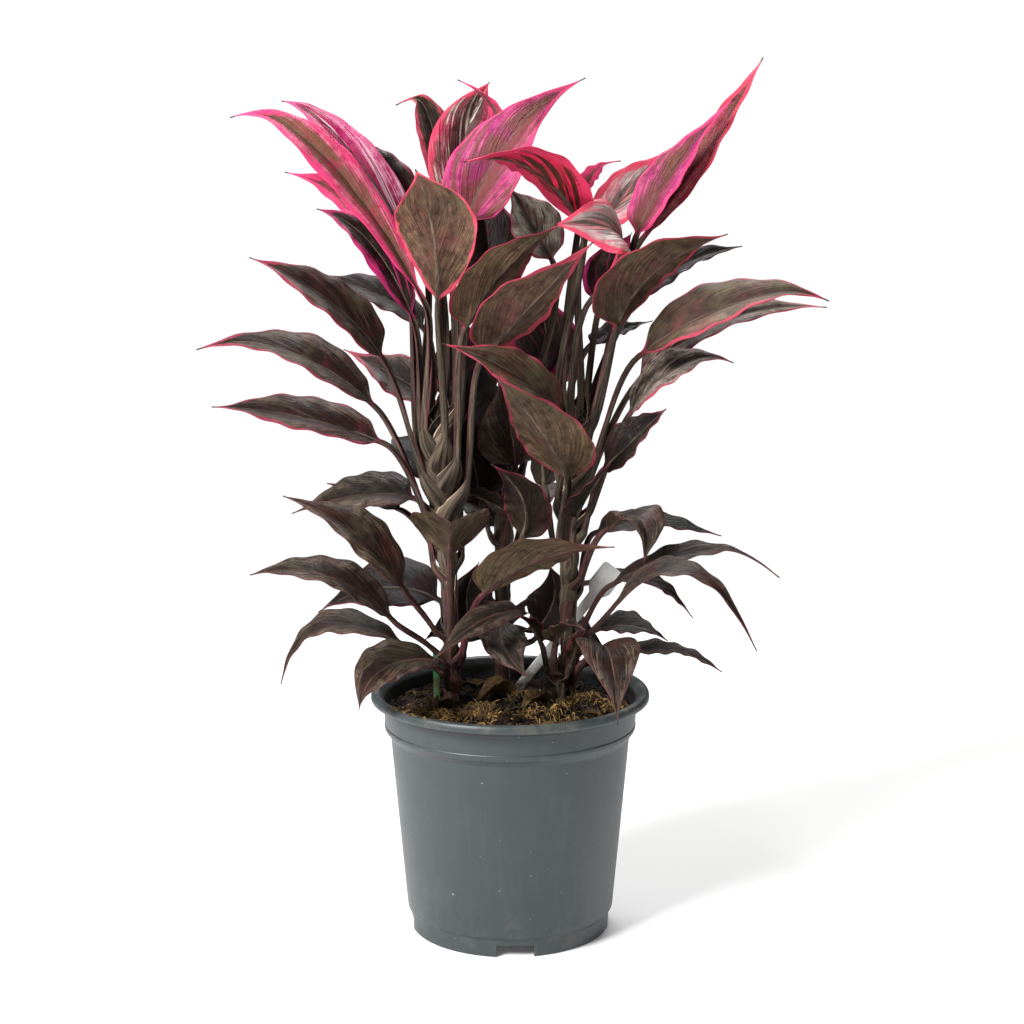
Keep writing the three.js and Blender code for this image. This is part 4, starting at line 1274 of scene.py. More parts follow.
    Leaf("shoot_3", "shoot", 184, 150, (24, 16, 214), (14, 10, 232), (2, 2, 240),
         width=22, fused=True, tone=Tone.DARK),
    # Inside the bush
    Leaf("centre_9", "back", 306, 205, (-32, 62, 367), (-29, 64, 395), (-21, 66, 431),
         width=58, heading=100, fused=True, tone=Tone.DARK),
    Leaf("centre_10", "back", 226, 185, (-10, 74, 293), (-28, 76, 310), (-50, 76, 312),
         width=46, roll=-30, fused=True, tone=Tone.DARK),
    Leaf("centre_11", "back", 196, 140, (-19, 84, 201), (-41, 90, 209), (-68, 90, 199),
         width=46, roll=-30, fused=True, tone=Tone.DARK),
    Leaf("centre_12", "back", 192, 40, (19, 88, 200), (44, 96, 209), (75, 98, 191),
         width=46, roll=30, fused=True, tone=Tone.DARK),
    Leaf("crown_left_8", "left", 328, 204, (-70, -7, 461), (-101, -5, 517), (-140, 0, 542),
         width=30, widest=0.8, roll=-45, fused=True, tone=Tone.WINE),
    Leaf("crown_right_7", "right", 324, 65, (67, 42, 468), (77, 44, 497), (91, 44, 523),
         width=40, heading=80, fold=6, fused=True, tone=Tone.WINE),
    Leaf("centre_13", "right", 282, 170, (26, 17, 334), (23, 21, 359), (19, 25, 400),
         width=22, heading=250, fold=30, fused=True, tone=Tone.DARK),
]


def ripples(x: Array, y: Array, wave: float, octaves: int, seed: int) -> Array:
    """Smooth uneven ground.

    Each octave is the mean of five plane waves with random headings and starts. An octave
    halves the wavelength and the height of the one before it.

    Args:
        x: Places across.
        y: Places in depth.
        wave: The longest wavelength, in millimetres.
        octaves: How many octaves are added.
        seed: The seed of the headings and starts.

    Returns:
        Heights between about -1 and 1.
    """
    rng = np.random.default_rng(seed)
    total = np.zeros(np.broadcast(x, y).shape)
    for octave in range(octaves):
        for heading, start in zip(rng.uniform(0, math.tau, 5), rng.uniform(0, math.tau, 5)):
            along = x * math.cos(heading) + y * math.sin(heading)
            total += 0.4 * np.sin(math.tau * along / wave * 2**octave + start) / 2**octave
    return total


def peat_height(x: Array, y: Array) -> Array:
    """The peat's height: long swells, fine crumbly relief and a fall towards the wall.

    Args:
        x: Places across.
        y: Places in depth.

    Returns:
        The heights.
    """
    radius = np.hypot(x, y)
    swell = np.sin(x * 0.11 + 1) * np.cos(y * 0.13) + 0.6 * np.sin(x * 0.23 - y * 0.19)
    fine = 1.5 * ripples(x, y, wave=22, octaves=4, seed=5)
    return SOIL_HEIGHT + 2.0 * swell + fine - 2.5 * smoothstep(radius, 60, 92)


def lathe(profile: Array, angles: Array) -> Array:
    """A profile of radius and height turned about the Z axis.

    Args:
        profile: Rows of radius and height.
        angles: The turns, in radians.

    Returns:
        Points, profile rows by angles by 3.
    """
    return profile[:, None, :1] * ray(angles)[None] + profile[:, None, 1:] * UP


def rounded(corners: list[Triple], steps: int, spacing: float) -> Array:
    """A profile with its corners rounded by quadratic curves.

    Args:
        corners: Rows of radius, height and the corner's size. The first and last stay sharp.
        steps: Points on each rounded corner.
        spacing: The largest gap between points on a straight run.

    Returns:
        Rows of radius and height.
    """
    points = np.array([corner[:2] for corner in corners], dtype=float)
    sizes = [corner[2] for corner in corners]
    line = [points[:1]]
    for before, here, after, size in zip(points, points[1:], points[2:], sizes[1:]):
        first = here + (before - here) * min(size / np.linalg.norm(before - here), 0.45)
        last = here + (after - here) * min(size / np.linalg.norm(after - here), 0.45)
        t = np.linspace(0, 1, steps)[:, None]
        line.append((1 - t) ** 2 * first + 2 * t * (1 - t) * here + t**2 * last)
    line.append(points[-1:])
    rough = np.concatenate(line)
    full = [rough[:1]]
    for start, end in zip(rough, rough[1:]):
        count = max(1, math.ceil(np.linalg.norm(end - start) / spacing))
        full.append(lerp(start, end, np.linspace(0, 1, count + 1)[1:, None]))
    return np.concatenate(full)


@dataclass(frozen=True)
class PotFinish:
    """Grey-blue moulded plastic with dust, drip marks, scuffs, a worn lip and painted crease shade.

    A painted crease shade is a dark line: a height and a half width, in metres, and a strength.
    The slope is how far the wall leans out for each unit of height, and inside is its inner radius
    less that lean.
    """

    shades: tuple[str, str] = ("31383a", "3a4244")
    drip: str = "4c5659"
    dust: str = "6e6b62"
    scuff: str = "a0a5a4"
    worn: str = "6c695c"
    # The colour of the painted shade in the creases.
    crease_shade: str = "201d18"
    # The inner wall's soil stain, which also stands for painted shade inside the pot.
    soil: str = "1c1510"
    # Dark lines painted in the creases under the lip, in the collar's step and at the foot's step:
    # painted shade, with some dirt in the foot's.
    crease_shades: tuple[Triple, ...] = (
        (0.1749, 0.0014, 0.8), (0.0148, 0.0007, 0.6), (0.1538, 0.0005, 0.45)
    )
    slope: float = 0.0588
    inside: float = 0.0843

    def material(self) -> bpy.types.Material:
        """Lays the marks and the painted shade over the plastic one by one.

        The inside is told from the outside by radius - slope * height, which is steady along
        the wall.

        Returns:
            The material.
        """
        finish = Finish("pot_plastic")
        place = finish.place()
        x, y, z = finish.parts(place)
        cloud = finish.noise(place, scale=18, detail=3, rough=0.6)
        dust = finish.noise(place, scale=55, detail=4, rough=0.7)
        drip_place = finish.vector(finish.times(x, 170.0), finish.times(y, 170.0),
                                   finish.times(z, 14.0))
        drips = finish.step(finish.noise(drip_place, detail=2), 0.5, 0.75)
        scuff_place = finish.vector(x, y, finish.times(z, 2.0))
        scuffs = finish.step(finish.noise(scuff_place, scale=230, detail=1), 0.77, 0.82)
        lip = finish.step(z, 0.1765, 0.1785)
        colour = finish.mix(cloud, linear(self.shades[0]), linear(self.shades[1]))
        colour = finish.tinted(colour, drips, 0.14, self.drip)
        low_dust = finish.scaled(finish.step(z, 0.05, 0.0), 0.2, 0.05)
        colour = finish.tinted(colour, finish.step(dust, 0.48, 0.7), low_dust, self.dust)
        colour = finish.tinted(colour, scuffs, 0.5, self.scuff)
        worn = finish.times(lip, finish.step(dust, 0.45, 0.62))
        colour = finish.tinted(colour, worn, 0.3, self.worn)
        # Lays each crease's dark line: painted shade, with some dirt in the one at the foot.
        for height, half, strength in self.crease_shades:
            far = finish.maths("ABSOLUTE", finish.maths("SUBTRACT", z, height))
            colour = finish.tinted(colour, finish.step(far, half, 0.3 * half), strength, self.crease_shade)
        aside = finish.maths("SUBTRACT", x, float(AXIS[0]))
        ahead = finish.maths("SUBTRACT", y, float(AXIS[1]))
        squares = finish.maths("ADD", finish.times(aside, aside), finish.times(ahead, ahead))
        from_wall = finish.scaled(z, -self.slope, finish.maths("SQRT", squares))
        lining = finish.step(from_wall, self.inside + 0.0005, self.inside)
        lining = finish.times(lining, finish.step(z, 0.15, 0.16))
        # The inner wall above the peat is darkened in patches: soil stain, and painted shade inside
        # the pot.
        inner_stain_and_shade = finish.times(lining, finish.step(dust, 0.3, 0.6))
        colour = finish.tinted(colour, inner_stain_and_shade, 0.85, self.soil)
        finish.surface(colour, finish.scaled(cloud, 0.16, 0.36))
        finish.relief(finish.noise(place, scale=900, detail=2), 0.00012, 0.4)
        return finish.material


@dataclass(frozen=True)
class EarthFinish:
    """A rough crumbly finish of two colours.

    Attributes:
        name: The material's name.
        dark: The colour of its hollows.
        light: The colour of its grains.
        scale: Grains to a metre.
        depth: The relief, in metres.
    """

    name: str
    dark: str
    light: str
    scale: float
    depth: float

    def material(self) -> bpy.types.Material:
        """Grains, with patches nine times as wide that are darker or lighter.

        Returns:
            The material.
        """
        finish = Finish(self.name)
        place = finish.place()
        grain = finish.noise(place, scale=self.scale, detail=4, rough=0.7)
        patch = finish.noise(place, scale=self.scale / 9, detail=2)
        mixed = finish.step(finish.between(0.35, grain, patch), 0.36, 0.68)
        colour = finish.mix(mixed, linear(self.dark), linear(self.light))
        finish.surface(colour, finish.scaled(grain, 0.2, 0.75))
        finish.shader.inputs["Specular IOR Level"].default_value = 0.2
        finish.relief(grain, self.depth, 0.9)
        return finish.material


@dataclass(frozen=True)
class FibreFinish:
    """Dry strands and flakes, each with its own shade between two colours.

    Attributes:
        name: The material's name.
        dark: The darkest strand.
        light: The palest strand.
    """

    name: str
    dark: str
    light: str

    def material(self) -> bpy.types.Material:
        """Mixes the colours by the cube of each strand's shade, so that few are pale.

        Returns:
            The material.
        """
        finish = Finish(self.name)
        grain = finish.noise(finish.place(), scale=700, detail=2)
        bright = finish.maths("POWER", finish.attribute("shade"), 3.0)
        share = finish.scaled(bright, 0.9, finish.times(grain, 0.2))
        colour = finish.mix(share, linear(self.dark), linear(self.light))
        finish.surface(colour, finish.scaled(grain, 0.2, 0.65))
        finish.relief(grain, 0.0002, 0.6)
        return finish.material


@dataclass(frozen=True)
class ThinPlasticFinish:
    """Thin moulded plastic that is darker towards its foot and in patches above.

    Attributes:
        name: The material's name.
        clean: The clean plastic.
        low_colour: The darker colour.
        roughness: The clean plastic's roughness.
    """

    name: str
    clean: str
    low_colour: str
    roughness: float

    def material(self) -> bpy.types.Material:
        """Mixes in the darker colour, thickly near the peat and in thin patches above it.

        Returns:
            The material.
        """
        finish = Finish(self.name)
        place = finish.place()
        smear = finish.noise(place, scale=120, detail=3, rough=0.65)
        # Darker below about 0.2 m, towards the foot, and in thin patches above.
        low = finish.step(finish.parts(place)[2], 0.2, 0.182)
        patchy = finish.times(finish.step(smear, 0.48, 0.7), 0.2)
        marks = finish.scaled(finish.step(smear, 0.2, 0.5), finish.times(low, 0.85), patchy)
        colour = finish.mix(marks, linear(self.clean), linear(self.low_colour))
        finish.surface(colour, finish.scaled(smear, 0.2, self.roughness - 0.1))
        finish.relief(smear, 0.0001, 0.5)
        return finish.material


@dataclass
class Pot:
    """The moulded nursery pot, from its notched foot to its rolled lip.

    A notch's half width is measured at the foot's radius, and it cuts outside the foot's
    inside. The first one is turned from the front by some degrees. The drain holes stand in
    a circle. The profile's corners are a radius, a height and the size of their rounding.
    """

    sides: int = 216
    notch_count: int = 4
    notch_half: float = 14.0
    notch_height: float = 9.0
    notch_turn: float = 3.0
    foot_radius: float = 75.5
    foot_inside: float = 70.0
    drain_count: int = 8
    drain_radius: float = 5.0
    drain_circle: float = 52.0
    drain_span: Pair = (5.0, 15.0)
    profile: tuple[Triple, ...] = (
        (0, 9, 0), (72.5, 9, 1), (73.9, 0, 0.5), (75.2, 0, 0.6), (75.7, 12.8, 0.8),
        (78.2, 15.5, 1.2), (90.2, 149.5, 1), (90.6, 150.4, 0.4), (94.6, 155.5, 1.2),
        (94.9, 158.5, 0.5), (94.4, 159.2, 0.4), (95.9, 177.6, 1), (101.5, 178, 1.5),
        (104.8, 177.6, 1.2), (105, 180.6, 1.8), (103.6, LIP_HEIGHT, 2.2), (99.4, 183.8, 1.5),
        (97.6, 182.6, 1.2), (94.3, 178, 1.5), (92.7, 157, 1), (88.7, 150, 1.5), (76.3, 16, 2),
        (72.6, 10.8, 1.5), (0, 10.8, 0),
    )

    def build(self) -> Shell:
        """The turned shell.

        The profile starts and ends on the axis. Angles are even, with a close pair at each
        side of a notch. Inside a notch, heights under the notch are squeezed to just beneath
        its top.

        Returns:
            The closed shell.
        """
        edge = math.asin(self.notch_half / self.foot_radius)
        front = -math.pi / 2 + math.radians(self.notch_turn)
        middles = front + np.arange(self.notch_count) * math.tau / self.notch_count
        pair = np.array([-edge - 0.002, -edge + 0.002, edge - 0.002, edge + 0.002])
        sharp = (middles[:, None] + pair).ravel() % math.tau
        angles = np.unique(np.round(np.concatenate([turns(self.sides), sharp]), 6))
        line = rounded(list(self.profile), steps=5, spacing=5.0)[1:-1]
        points = lathe(line, angles)
        away = np.abs((angles - middles[:, None] + math.pi) % math.tau - math.pi).min(axis=0)
        low = (points[..., 2] < self.notch_height) & (line[:, :1] > self.foot_inside)
        squeezed = self.notch_height - 0.25 + 0.25 * points[..., 2] / self.notch_height
        points[..., 2] = np.where((away < edge)[None] & low, squeezed, points[..., 2])
        return tube(points)

    def drained(self, piece: bpy.types.Object) -> None:
        """Cuts the drain holes in the floor by a Boolean that is applied at once.

        Args:
            piece: The pot, which keeps its name and gets the cut mesh.
        """
        holes = []
        for turn in turns(self.drain_count):
            ring = self.drain_circle * ray(turn) + self.drain_radius * ray(turns(24))
            holes.append(tube(np.stack([ring + UP * height for height in self.drain_span])))
        cutter = make_piece("drain_cutter", holes, [])
        cut = piece.modifiers.new("drain", "BOOLEAN")
        cut.operation = "DIFFERENCE"
        cut.object = cutter
        cut.solver = "EXACT"
        bpy.context.view_layer.update()
        graph = bpy.context.evaluated_depsgraph_get()
        mesh = bpy.data.meshes.new_from_object(piece.evaluated_get(graph))
        piece.modifiers.clear()
        piece.data = mesh
        bpy.data.objects.remove(cutter)

    def dress(self) -> None:
        """Makes the pot's piece and cuts its drain holes."""
        plastic = PotFinish().material()
        pot = make_piece("nursery_pot", [self.build()], [plastic], ("pot",))
        self.drained(pot)


@dataclass(frozen=True)
class Strands:
    """One kind of strand on the peat.

    Attributes:
        count: How many.
        length: The least and greatest length.
        thick: The least and greatest radius.
        lift: The greatest height of an arch.
        crowd: Strands to a tuft.
        loose: The spread of a tuft.
        front: One keeps the tufts to the front of the peat, and zero leaves them everywhere.
        pile: The greatest height of a strand over the peat.
    """

    count: int
    length: Pair
    thick: Pair
    lift: float
    crowd: int = 9
    loose: float = 5
    front: float = 0
    pile: float = 0


@dataclass(frozen=True)
class DeadLeaf:
    """A dry scrap of leaf on the peat.

    Attributes:
        centre: Where its middle lies.
        heading: The compass angle it points along.
        length: Its length.
        width: Its width.
        curl: How far its edges turn up, as a share of the half width.
        arch: How far its middle stands off the peat.
        thick: Its thickness.
    """

    centre: Pair
    heading: float
    length: float
    width: float
    curl: float
    arch: float = 5
    thick: float = 0.4

    def scrap(self) -> Shell:
        """A strip that narrows to both ends, cupped across and arched along by sin(pi t).

        Returns:
            The closed shell.
        """
        t = np.linspace(0, 1, 22)[:, None]
        u = np.linspace(-1, 1, 9)[None, :]
        ahead, aside = compass(self.heading), compass(self.heading + 90)
        half = self.width / 2 * np.sin(np.pi * (0.06 + 0.88 * t)) ** 0.8
        flat = ((t - 0.5) * self.length)[..., None] * ahead + (u * half)[..., None] * aside
        flat = flat + np.array([*self.centre, 0.0])
        spine = flat[:, u.shape[1] // 2]
        bed = peat_height(spine[:, 0], spine[:, 1])[:, None] + 1.5
        cupped = self.curl * half * u**2 + self.arch * np.sin(np.pi * t)
        height = bed + cupped + 0.8 * np.sin(9 * t + 4 * u)
        upper = flat + UP * height[..., None]
        return ribbon(upper, upper - UP * self.thick, {})


@dataclass
class Peat:
    """The root ball, with the crumbs, moss, coir, flakes, bark and dead leaf on it.

    The wall is the ball's side, as radius and height. The flakes are the places drawn for
    them, of which the front ones stay. Those spilt on the pot's lip lie along an arc, in
    radians, and between a least and a greatest radius.
    """

    radius: float = 92.3
    wall: tuple[Pair, ...] = ((72, 11.2), (75.6, 17), (87.7, 149), (91.5, 158), (92.3, 164))
    crumbs: int = 1500
    moss: Strands = Strands(3000, (3, 9), (0.25, 0.65), 3, crowd=50, loose=3.8, front=1, pile=5)
    coir: Strands = Strands(500, (8, 26), (0.2, 0.45), 4)
    flakes: int = 1700
    spilt: int = 30
    spilt_arc: Pair = (3.72, 4.08)
    spilt_reach: Pair = (100.5, 103.5)
    chips: int = 16
    big_chips: tuple[Pair, ...] = ((44, -74), (36, -77), (51, -70))
    scraps: tuple[DeadLeaf, ...] = (
        DeadLeaf((-8, 14), 20, 40, 16, 1.2, 8),
        DeadLeaf((22, -8), 35, 34, 13, 0.9, 6),
        DeadLeaf((6, -30), 60, 34, 10, 0.7),
        DeadLeaf((-58, -8), 100, 30, 8, 0.6),
        DeadLeaf((60, -44), -20, 24, 9, 0.4),
        DeadLeaf((-20, 50), 160, 40, 12, 0.5),
    )
    seed: int = 11

    def ball(self) -> Shell:
        """The ball: a turned body whose top rows follow the peat's height.

        The top is a polar grid in closing rings. Under it the wall follows the pot's inside.

        Returns:
            The closed shell.
        """
        angles = turns(160)
        radii = np.concatenate([np.linspace(self.radius, 4, 60), [1.5]])
        top = lathe(np.stack([radii, 0 * radii], axis=-1), angles)
        top[..., 2] = peat_height(top[..., 0], top[..., 1])
        return tube(np.concatenate([lathe(np.array(self.wall), angles), top]))

    def places(self, rng: np.random.Generator, count: int, reach: float) -> Array:
        """Random places spread evenly over the peat out to a radius."""
        radius = reach * np.sqrt(rng.uniform(0, 1, count))
        return radius[:, None] * ray(rng.uniform(0, math.tau, count))[:, :2]

    def scattered(
        self, rng: np.random.Generator, where: Array, sizes: Pair, flat: float, long: float
    ) -> Shell:
        """Small lumps on the peat, each with a shade of its own.

        One lump is a sphere of three rings of six. Each copy is stretched and squashed,
        its points are moved in or out at random, it is turned about two axes and set down.

        Args:
            rng: The random source.
            where: The lumps' centres, x and y.
            sizes: The least and greatest radius.
            flat: The height's share of the width.
            long: The greatest share by which a lump is longer than wide.

        Returns:
            All of them as one shell.
        """
        count = len(where)
        latitude = 1.5 * np.linspace(-0.8, 0.8, 3)
        lump = tube(lathe(np.stack([np.cos(latitude), np.sin(latitude)], axis=-1), turns(6)))
        each = len(lump.points)
        size = rng.uniform(*sizes, count)[:, None]
        shape = np.concatenate([size * rng.uniform(1, long, (count, 1)), size, size * flat], axis=1)
        points = lump.points[None] * (1 + rng.uniform(-0.3, 0.3, (count, each, 1)))
        tip, turn = rng.uniform(-0.7, 0.7, (count, 1)), rng.uniform(0, math.tau, (count, 1))
        x, y, z = np.moveaxis(points * shape[:, None], -1, 0)
        x, z = x * np.cos(tip) - z * np.sin(tip), x * np.sin(tip) + z * np.cos(tip)
        x, y = x * np.cos(turn) - y * np.sin(turn), x * np.sin(turn) + y * np.cos(turn)
        ground = peat_height(where[:, 0], where[:, 1]) + 0.35 * size[:, 0] * flat
        points = np.stack([x + where[:, :1], y + where[:, 1:], z + ground[:, None]], axis=-1)
        shade = np.repeat(rng.uniform(0, 1, count), each)
        starts = (np.arange(count) * each)[:, None, None]
        quads = (lump.quads[None] + starts).reshape(-1, 4)
        tris = (lump.tris[None] + starts).reshape(-1, 3)
        return Shell(points.reshape(-1, 3), quads, tris, {"shade": shade})

    def raised(self, lumps: Shell, rise: Array) -> Shell:
        """Scattered lumps, each lifted by its own amount."""
        lumps.points[:, 2] += rise.repeat(len(lumps.points) // len(rise))
        return lumps

    def strewn(self, rng: np.random.Generator, kind: Strands) -> list[Shell]:
        """Curled strands that lie on the peat in tufts.

        A strand's heading drifts at random along it, and its height over the peat is a low
        arch, sin(pi t) times the lift.

        Args:
            rng: The random source.
            kind: The strands' sizes and how they lie.

        Returns:
            One shell for each strand.
        """
        tufts = self.places(rng, max(kind.count // kind.crowd, 1), 84)
        tufts = tufts[rng.uniform(-70, 30, len(tufts)) > tufts[:, 1] * kind.front]
        strands = []
        t = np.linspace(0, 1, 6)
        for shade in rng.uniform(0, 1, kind.count):
            start = tufts[rng.integers(len(tufts))] + rng.normal(0, kind.loose, 2)
            heading = rng.uniform(0, math.tau) + np.cumsum(rng.normal(0, 0.45, len(t)))
            stride = rng.uniform(*kind.length) / len(t)
            x = start[0] + np.cumsum(np.cos(heading)) * stride
            y = start[1] + np.cumsum(np.sin(heading)) * stride
            keep = np.minimum(1, 90 / np.maximum(np.hypot(x, y), 1))
            x, y = x * keep, y * keep
            arch = np.sin(np.pi * t) * rng.uniform(0, kind.lift) + rng.uniform(0, kind.pile)
            path = np.stack([x, y, peat_height(x, y) + 0.4 + arch], axis=-1)
            rings = swept(path, rng.uniform(*kind.thick) * (1 - 0.6 * t), 3)
            strands.append(tube(rings, {"shade": np.full(rings.shape[:2], shade)}))
        return strands

    def flaked(self, rng: np.random.Generator) -> list[Shell]:
        """Golden flakes over the front of the peat, and a few spilt on the pot's lip.

        Args:
            rng: The random source.

        Returns:
            The flakes on the peat and those on the lip.
        """
        front = self.places(rng, self.flakes, 90)
        front = front[rng.uniform(-95, 10, len(front)) > front[:, 1]]
        flakes = self.scattered(rng, front, (0.5, 1.7), 0.3, 2.6)
        flakes = self.raised(flakes, rng.uniform(0, 3.5, len(front)))
        turn = rng.uniform(*self.spilt_arc, self.spilt)
        reach = rng.uniform(*self.spilt_reach, self.spilt)
        lip = reach[:, None] * ray(turn)[:, :2]
        spilt = self.scattered(rng, lip, (0.5, 1.3), 0.5, 2.2)
        return [flakes, self.raised(spilt, LIP_HEIGHT - peat_height(lip[:, 0], lip[:, 1]))]

    def barked(self, rng: np.random.Generator) -> list[Shell]:
        """Bark chips: small ones anywhere, and a few big ones that stand a little proud.

        Args:
            rng: The random source.

        Returns:
            The small and the big chips.
        """
        small = self.scattered(rng, self.places(rng, self.chips, 84), (2.0, 4.5), 0.35, 2.2)
        big = self.scattered(rng, np.array(self.big_chips), (5.5, 7.5), 0.5, 1.8)
        return [small, self.raised(big, np.full(len(self.big_chips), 2.5))]

    def dress(self) -> None:
        """Makes the ball and, one after the other, all that lies on it."""
        rng = np.random.default_rng(self.seed)
        peat = EarthFinish("peat_dark", "050302", "1c110a", scale=520, depth=0.0012).material()
        make_piece("peat_ball", [self.ball()], [peat], ("soil",))
        crumb = EarthFinish("peat_crumb", "0a0604", "33200f", scale=900, depth=0.0006).material()
        crumbs = self.scattered(rng, self.places(rng, self.crumbs, 90), (0.8, 2.6), 0.8, 1.6)
        make_piece("peat_crumbs", [crumbs], [crumb], smooth=False)
        gold = FibreFinish("moss_gold", "1a1006", "ac8546").material()
        make_piece("moss_strands", self.strewn(rng, self.moss), [gold])
        brown = FibreFinish("coir_brown", "120a05", "5c3e22").material()
        make_piece("coir_strands", self.strewn(rng, self.coir), [brown])
        make_piece("peat_flakes", self.flaked(rng), [gold], smooth=False)
        bark = EarthFinish("bark_pale", "66552f", "b8a468", scale=420, depth=0.0006).material()
        make_piece("bark_chips", self.barked(rng), [bark], smooth=False)
        dry = EarthFinish("dead_leaf_tan", "1c130a", "584326", scale=260, depth=0.0005).material()
        scraps = [leaf.scrap() for leaf in self.scraps]
        make_piece("dead_leaf_bits", scraps, [dry])


@dataclass
class PlantTag:
    """The bare white label, leaning behind the canes.

    It leans to the right by some degrees. The outline gives its half width along it, as
    pairs of a place and a share of half the head's width.
    """

    foot: Triple = (-12, 40.5, 150)
    lean: float = 38.0
    length: float = 150.0
    half: float = 9.5
    thick: float = 0.7
    outline: tuple[Pair, ...] = ((0, 0.12), (0.12, 0.4), (0.82, 0.42), (0.86, 1), (1, 1))

    def dress(self) -> None:
        """Makes the label.

        Its half width runs from a point at the foot to the shaft, steps out to the head and
        is rounded off at the top. The sheet bows by a millimetre between its ends.
        """
        t = np.concatenate([np.linspace(0, 0.97, 40), np.linspace(0.975, 1, 8)])
        stops, shares = np.array(self.outline).T
        corner = np.clip((t - 0.98) / 0.02, 0, 1)
        half = np.interp(t, stops, self.half * shares) - 3 * (1 - np.sqrt(1 - corner**2))
        u = np.linspace(-1, 1, 9)[None, :]
        angle = math.radians(self.lean)
        ahead = np.array([math.sin(angle), 0, math.cos(angle)])
        aside = np.array([math.cos(angle), 0, -math.sin(angle)])
        bow = np.sin(np.pi * t)[:, None] - 0.4 * u**2
        run = np.array(self.foot) + (t * self.length)[:, None, None] * ahead
        flat = run + (u * half[:, None])[..., None] * aside
        forward = np.array([0, -1, 0])
        front = flat + forward * (bow + self.thick / 2)[..., None]
        back = flat + forward * (bow - self.thick / 2)[..., None]
        white = ThinPlasticFinish("tag_white", "dddcd8", "30251a", roughness=0.42).material()
        make_piece("label_stick", [ribbon(front, back, {})], [white], ("plant_tag",))


@dataclass
class Marker:
    """The small green peg beside the left cane, whose depth is a share of its width."""

    place: Triple = (-56, 24, 148)
    height: float = 60.0
    top_radius: float = 3.2
    foot_radius: float = 2.0
    depth_share: float = 0.4

    def dress(self) -> None:
        """Makes the peg: a flattened oval tube that narrows downwards, with a rounded top."""
        t = np.concatenate([np.linspace(0, 0.95, 20), np.linspace(0.96, 1, 8)])
        crown = np.sqrt(1 - np.clip((t - 0.955) / 0.046, 0, 1) ** 2)
        radius = lerp(self.foot_radius, self.top_radius, t) * crown
        oval = ray(turns(24))[None] * np.array([1, self.depth_share, 1])
        middle = np.array(self.place) + (t * self.height)[:, None, None] * UP
        green = ThinPlasticFinish("marker_green", "12a468", "4c4a30", roughness=0.38).material()
        peg = tube(middle + radius[:, None, None] * oval)
        make_piece("green_peg", [peg], [green], ("green_marker",))


@dataclass
class Foliage:
    """All the leaves, the canes that carry them, and the bare buds by the basal shoots."""

    leaves: list[Leaf]
    buds: tuple[Triple, ...] = ((27, -2, -1.5), (39, -6, 1.0))
    seed: int = 3

    def dress(self) -> None:
        """Makes each leaf's piece, and each cane with the leaves that are fused to it."""
        finishes = {
            tone: LeafFinish(f"leaf_{tone.name.lower()}", tone.value).layered() for tone in Tone
        }
        bark = EarthFinish("cane_bark", "261b16", "4f4036", scale=300, depth=0.0005).material()
        shifts = np.random.default_rng(self.seed).uniform(0, 60, len(self.leaves))
        fused: dict[str, list[Shell]] = {key: [cane.stem()] for key, cane in CANES.items()}
        paints: dict[str, list[bpy.types.Material]] = {key: [bark] for key in CANES}
        for number, (leaf, shift) in enumerate(zip(self.leaves, shifts)):
            shells = [leaf.blade(shift, number * WAVE_STEP % 1), leaf.sheath(shift)]
            if leaf.fused:
                for shell in shells:
                    shell.paint = len(paints[leaf.cane])
                paints[leaf.cane].append(finishes[leaf.tone])
                fused[leaf.cane] += shells
            else:
                make_piece(
                    f"foliage_{leaf.name}", shells, [finishes[leaf.tone]],
                    (f"leaf_{leaf.name}",),
                )
        fused["shoot"] += [self.bud(*bud) for bud in self.buds]
        for key in CANES:
            node = "basal_shoots" if key == "shoot" else f"cane_{key}"
            make_piece(f"stem_{key}", fused[key], paints[key], (node,))

    def bud(self, x: float, y: float, lean: float) -> Shell:
        """A short pale bud tip: a swept cone, whose radius is a power of a sine.

        Args:
            x: Its place across.
            y: Its place in depth.
            lean: How far its tip leans to the right.

        Returns:
            The closed shell.
        """
        t = np.linspace(0, 1, 12)
        path = np.stack([x + lean * t, y - t, 166 + 24 * t], axis=-1)
        return tube(swept(path, 2.3 * np.sin(np.pi * (0.25 + 0.72 * t)) ** 0.8 + 0.15, 12))


@dataclass(frozen=True)
class Lamp:
    """A square soft light that faces the middle of the plant.

    Attributes:
        name: Its name.
        place: Where it hangs, in metres from the pot's foot.
        size: Its side, in metres.
        power: Its power in watts.
        aim: The place that it faces, in metres from the pot's foot.
    """

    name: str
    place: Triple
    size: float
    power: float
    aim: Triple = (0, 0, 0.3)

    def hang(self) -> None:
        """Hangs the light and turns it to face its aim."""
        data = bpy.data.lights.new(self.name, "AREA")
        data.size = self.size
        data.energy = self.power
        lamp = bpy.data.objects.new(self.name, data)
        towards = Vector(self.aim) - Vector(self.place)
        lamp.rotation_euler = towards.to_track_quat("-Z", "Y").to_euler()
        lamp.location = Vector(self.place) + Vector(AXIS)
        bpy.context.scene.collection.objects.link(lamp)


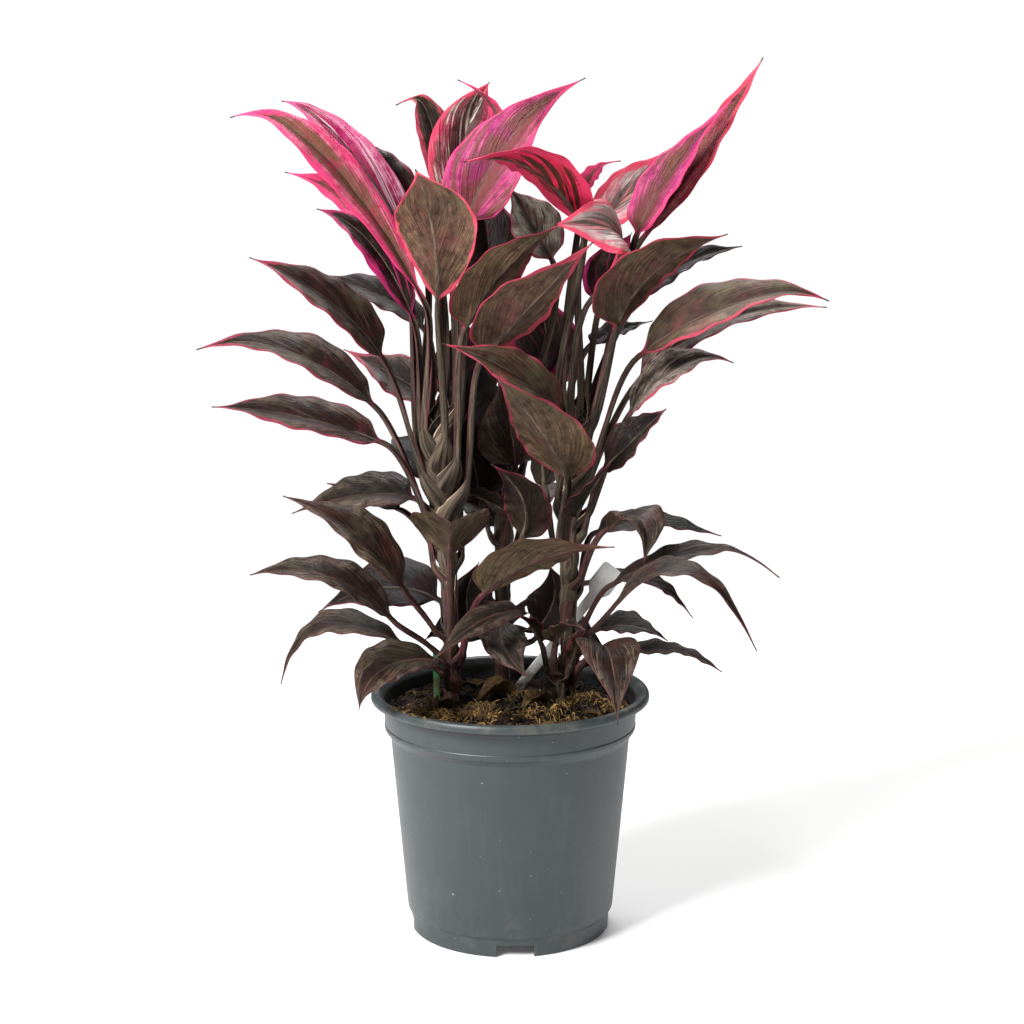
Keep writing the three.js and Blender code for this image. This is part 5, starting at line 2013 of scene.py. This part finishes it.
@dataclass
class Studio:
    """The pale floor, the soft lights and the camera at the photograph's angle.

    The camera's place and the floor's reach are in metres from the pot's foot, and its pitch
    is in degrees. The world is as strong as ambient where it lights the plant, and as
    backdrop where the camera sees it.
    """

    distance: float = 1.574
    height: float = 0.608
    aside: float = 0.0014
    pitch: float = 10.4
    lens: float = 75.76
    sensor: float = 36
    ambient: float = 0.12
    backdrop: float = 1.05
    floor_reach: float = 1.1
    glow: float = 0.06
    lamps: tuple[Lamp, ...] = (
        Lamp("key_left", (-1.4, -1.4, 1.7), 0.9, 106),
        Lamp("fill_right", (1.6, -1.2, 0.9), 1.2, 5),
        Lamp("top_back", (0.2, 1.1, 1.9), 1.2, 38),
    )

    def floor(self) -> None:
        """A wide pale disc under the pot, left out of the object."""
        finish = Finish("studio_floor")
        patch = finish.noise(finish.place(), scale=1.5, detail=2)
        colour = finish.mix(patch, linear("fafaf9"), linear("fdfdfd"))
        finish.surface(colour, finish.scaled(patch, 0.1, 0.8))
        finish.shader.inputs["Emission Color"].default_value = (1, 1, 1, 1)
        finish.shader.inputs["Emission Strength"].default_value = self.glow
        ring = self.floor_reach * ray(turns(96)) + AXIS - np.array([0, 0, 0.0002])
        mesh = bpy.data.meshes.new("studio_floor")
        mesh.from_pydata(ring.tolist(), [], [list(range(len(ring)))])
        mesh.materials.append(finish.material)
        floor = bpy.data.objects.new("studio_floor", mesh)
        bpy.context.scene.collection.objects.link(floor)

    def world(self) -> None:
        """A white world, bright to the camera and dim as a light."""
        world = bpy.data.worlds.new("studio_world")
        world.use_nodes = True
        nodes, links = world.node_tree.nodes, world.node_tree.links
        backdrop = nodes["Background"]
        backdrop.inputs["Color"].default_value = (1, 1, 1, 1)
        strength = nodes.new("ShaderNodeMapRange")
        strength.inputs["To Min"].default_value = self.ambient
        strength.inputs["To Max"].default_value = self.backdrop
        seen = nodes.new("ShaderNodeLightPath").outputs["Is Camera Ray"]
        links.new(seen, strength.inputs["Value"])
        links.new(strength.outputs[0], backdrop.inputs["Strength"])
        bpy.context.scene.world = world

    def camera(self) -> None:
        """The camera at the photograph's place and angle."""
        data = bpy.data.cameras.new("photo_camera")
        data.lens = self.lens
        data.sensor_width = self.sensor
        camera = bpy.data.objects.new("photo_camera", data)
        camera.location = Vector(AXIS) + Vector((self.aside, -self.distance, self.height))
        camera.rotation_euler = (math.radians(90 - self.pitch), 0, 0)
        bpy.context.scene.collection.objects.link(camera)
        bpy.context.scene.camera = camera

    def dress(self) -> None:
        """Makes the floor, the world, the lights and the camera."""
        self.floor()
        self.world()
        for lamp in self.lamps:
            lamp.hang()
        self.camera()
        bpy.context.scene.view_settings.view_transform = "Standard"


def main() -> None:
    """Builds the sub-assemblies in order."""
    logging.basicConfig(level=logging.INFO, format="%(message)s")
    Studio().dress()
    Pot().dress()
    Peat().dress()
    PlantTag().dress()
    Marker().dress()
    Foliage(LEAVES).dress()


if __name__ == "__main__":
    main()
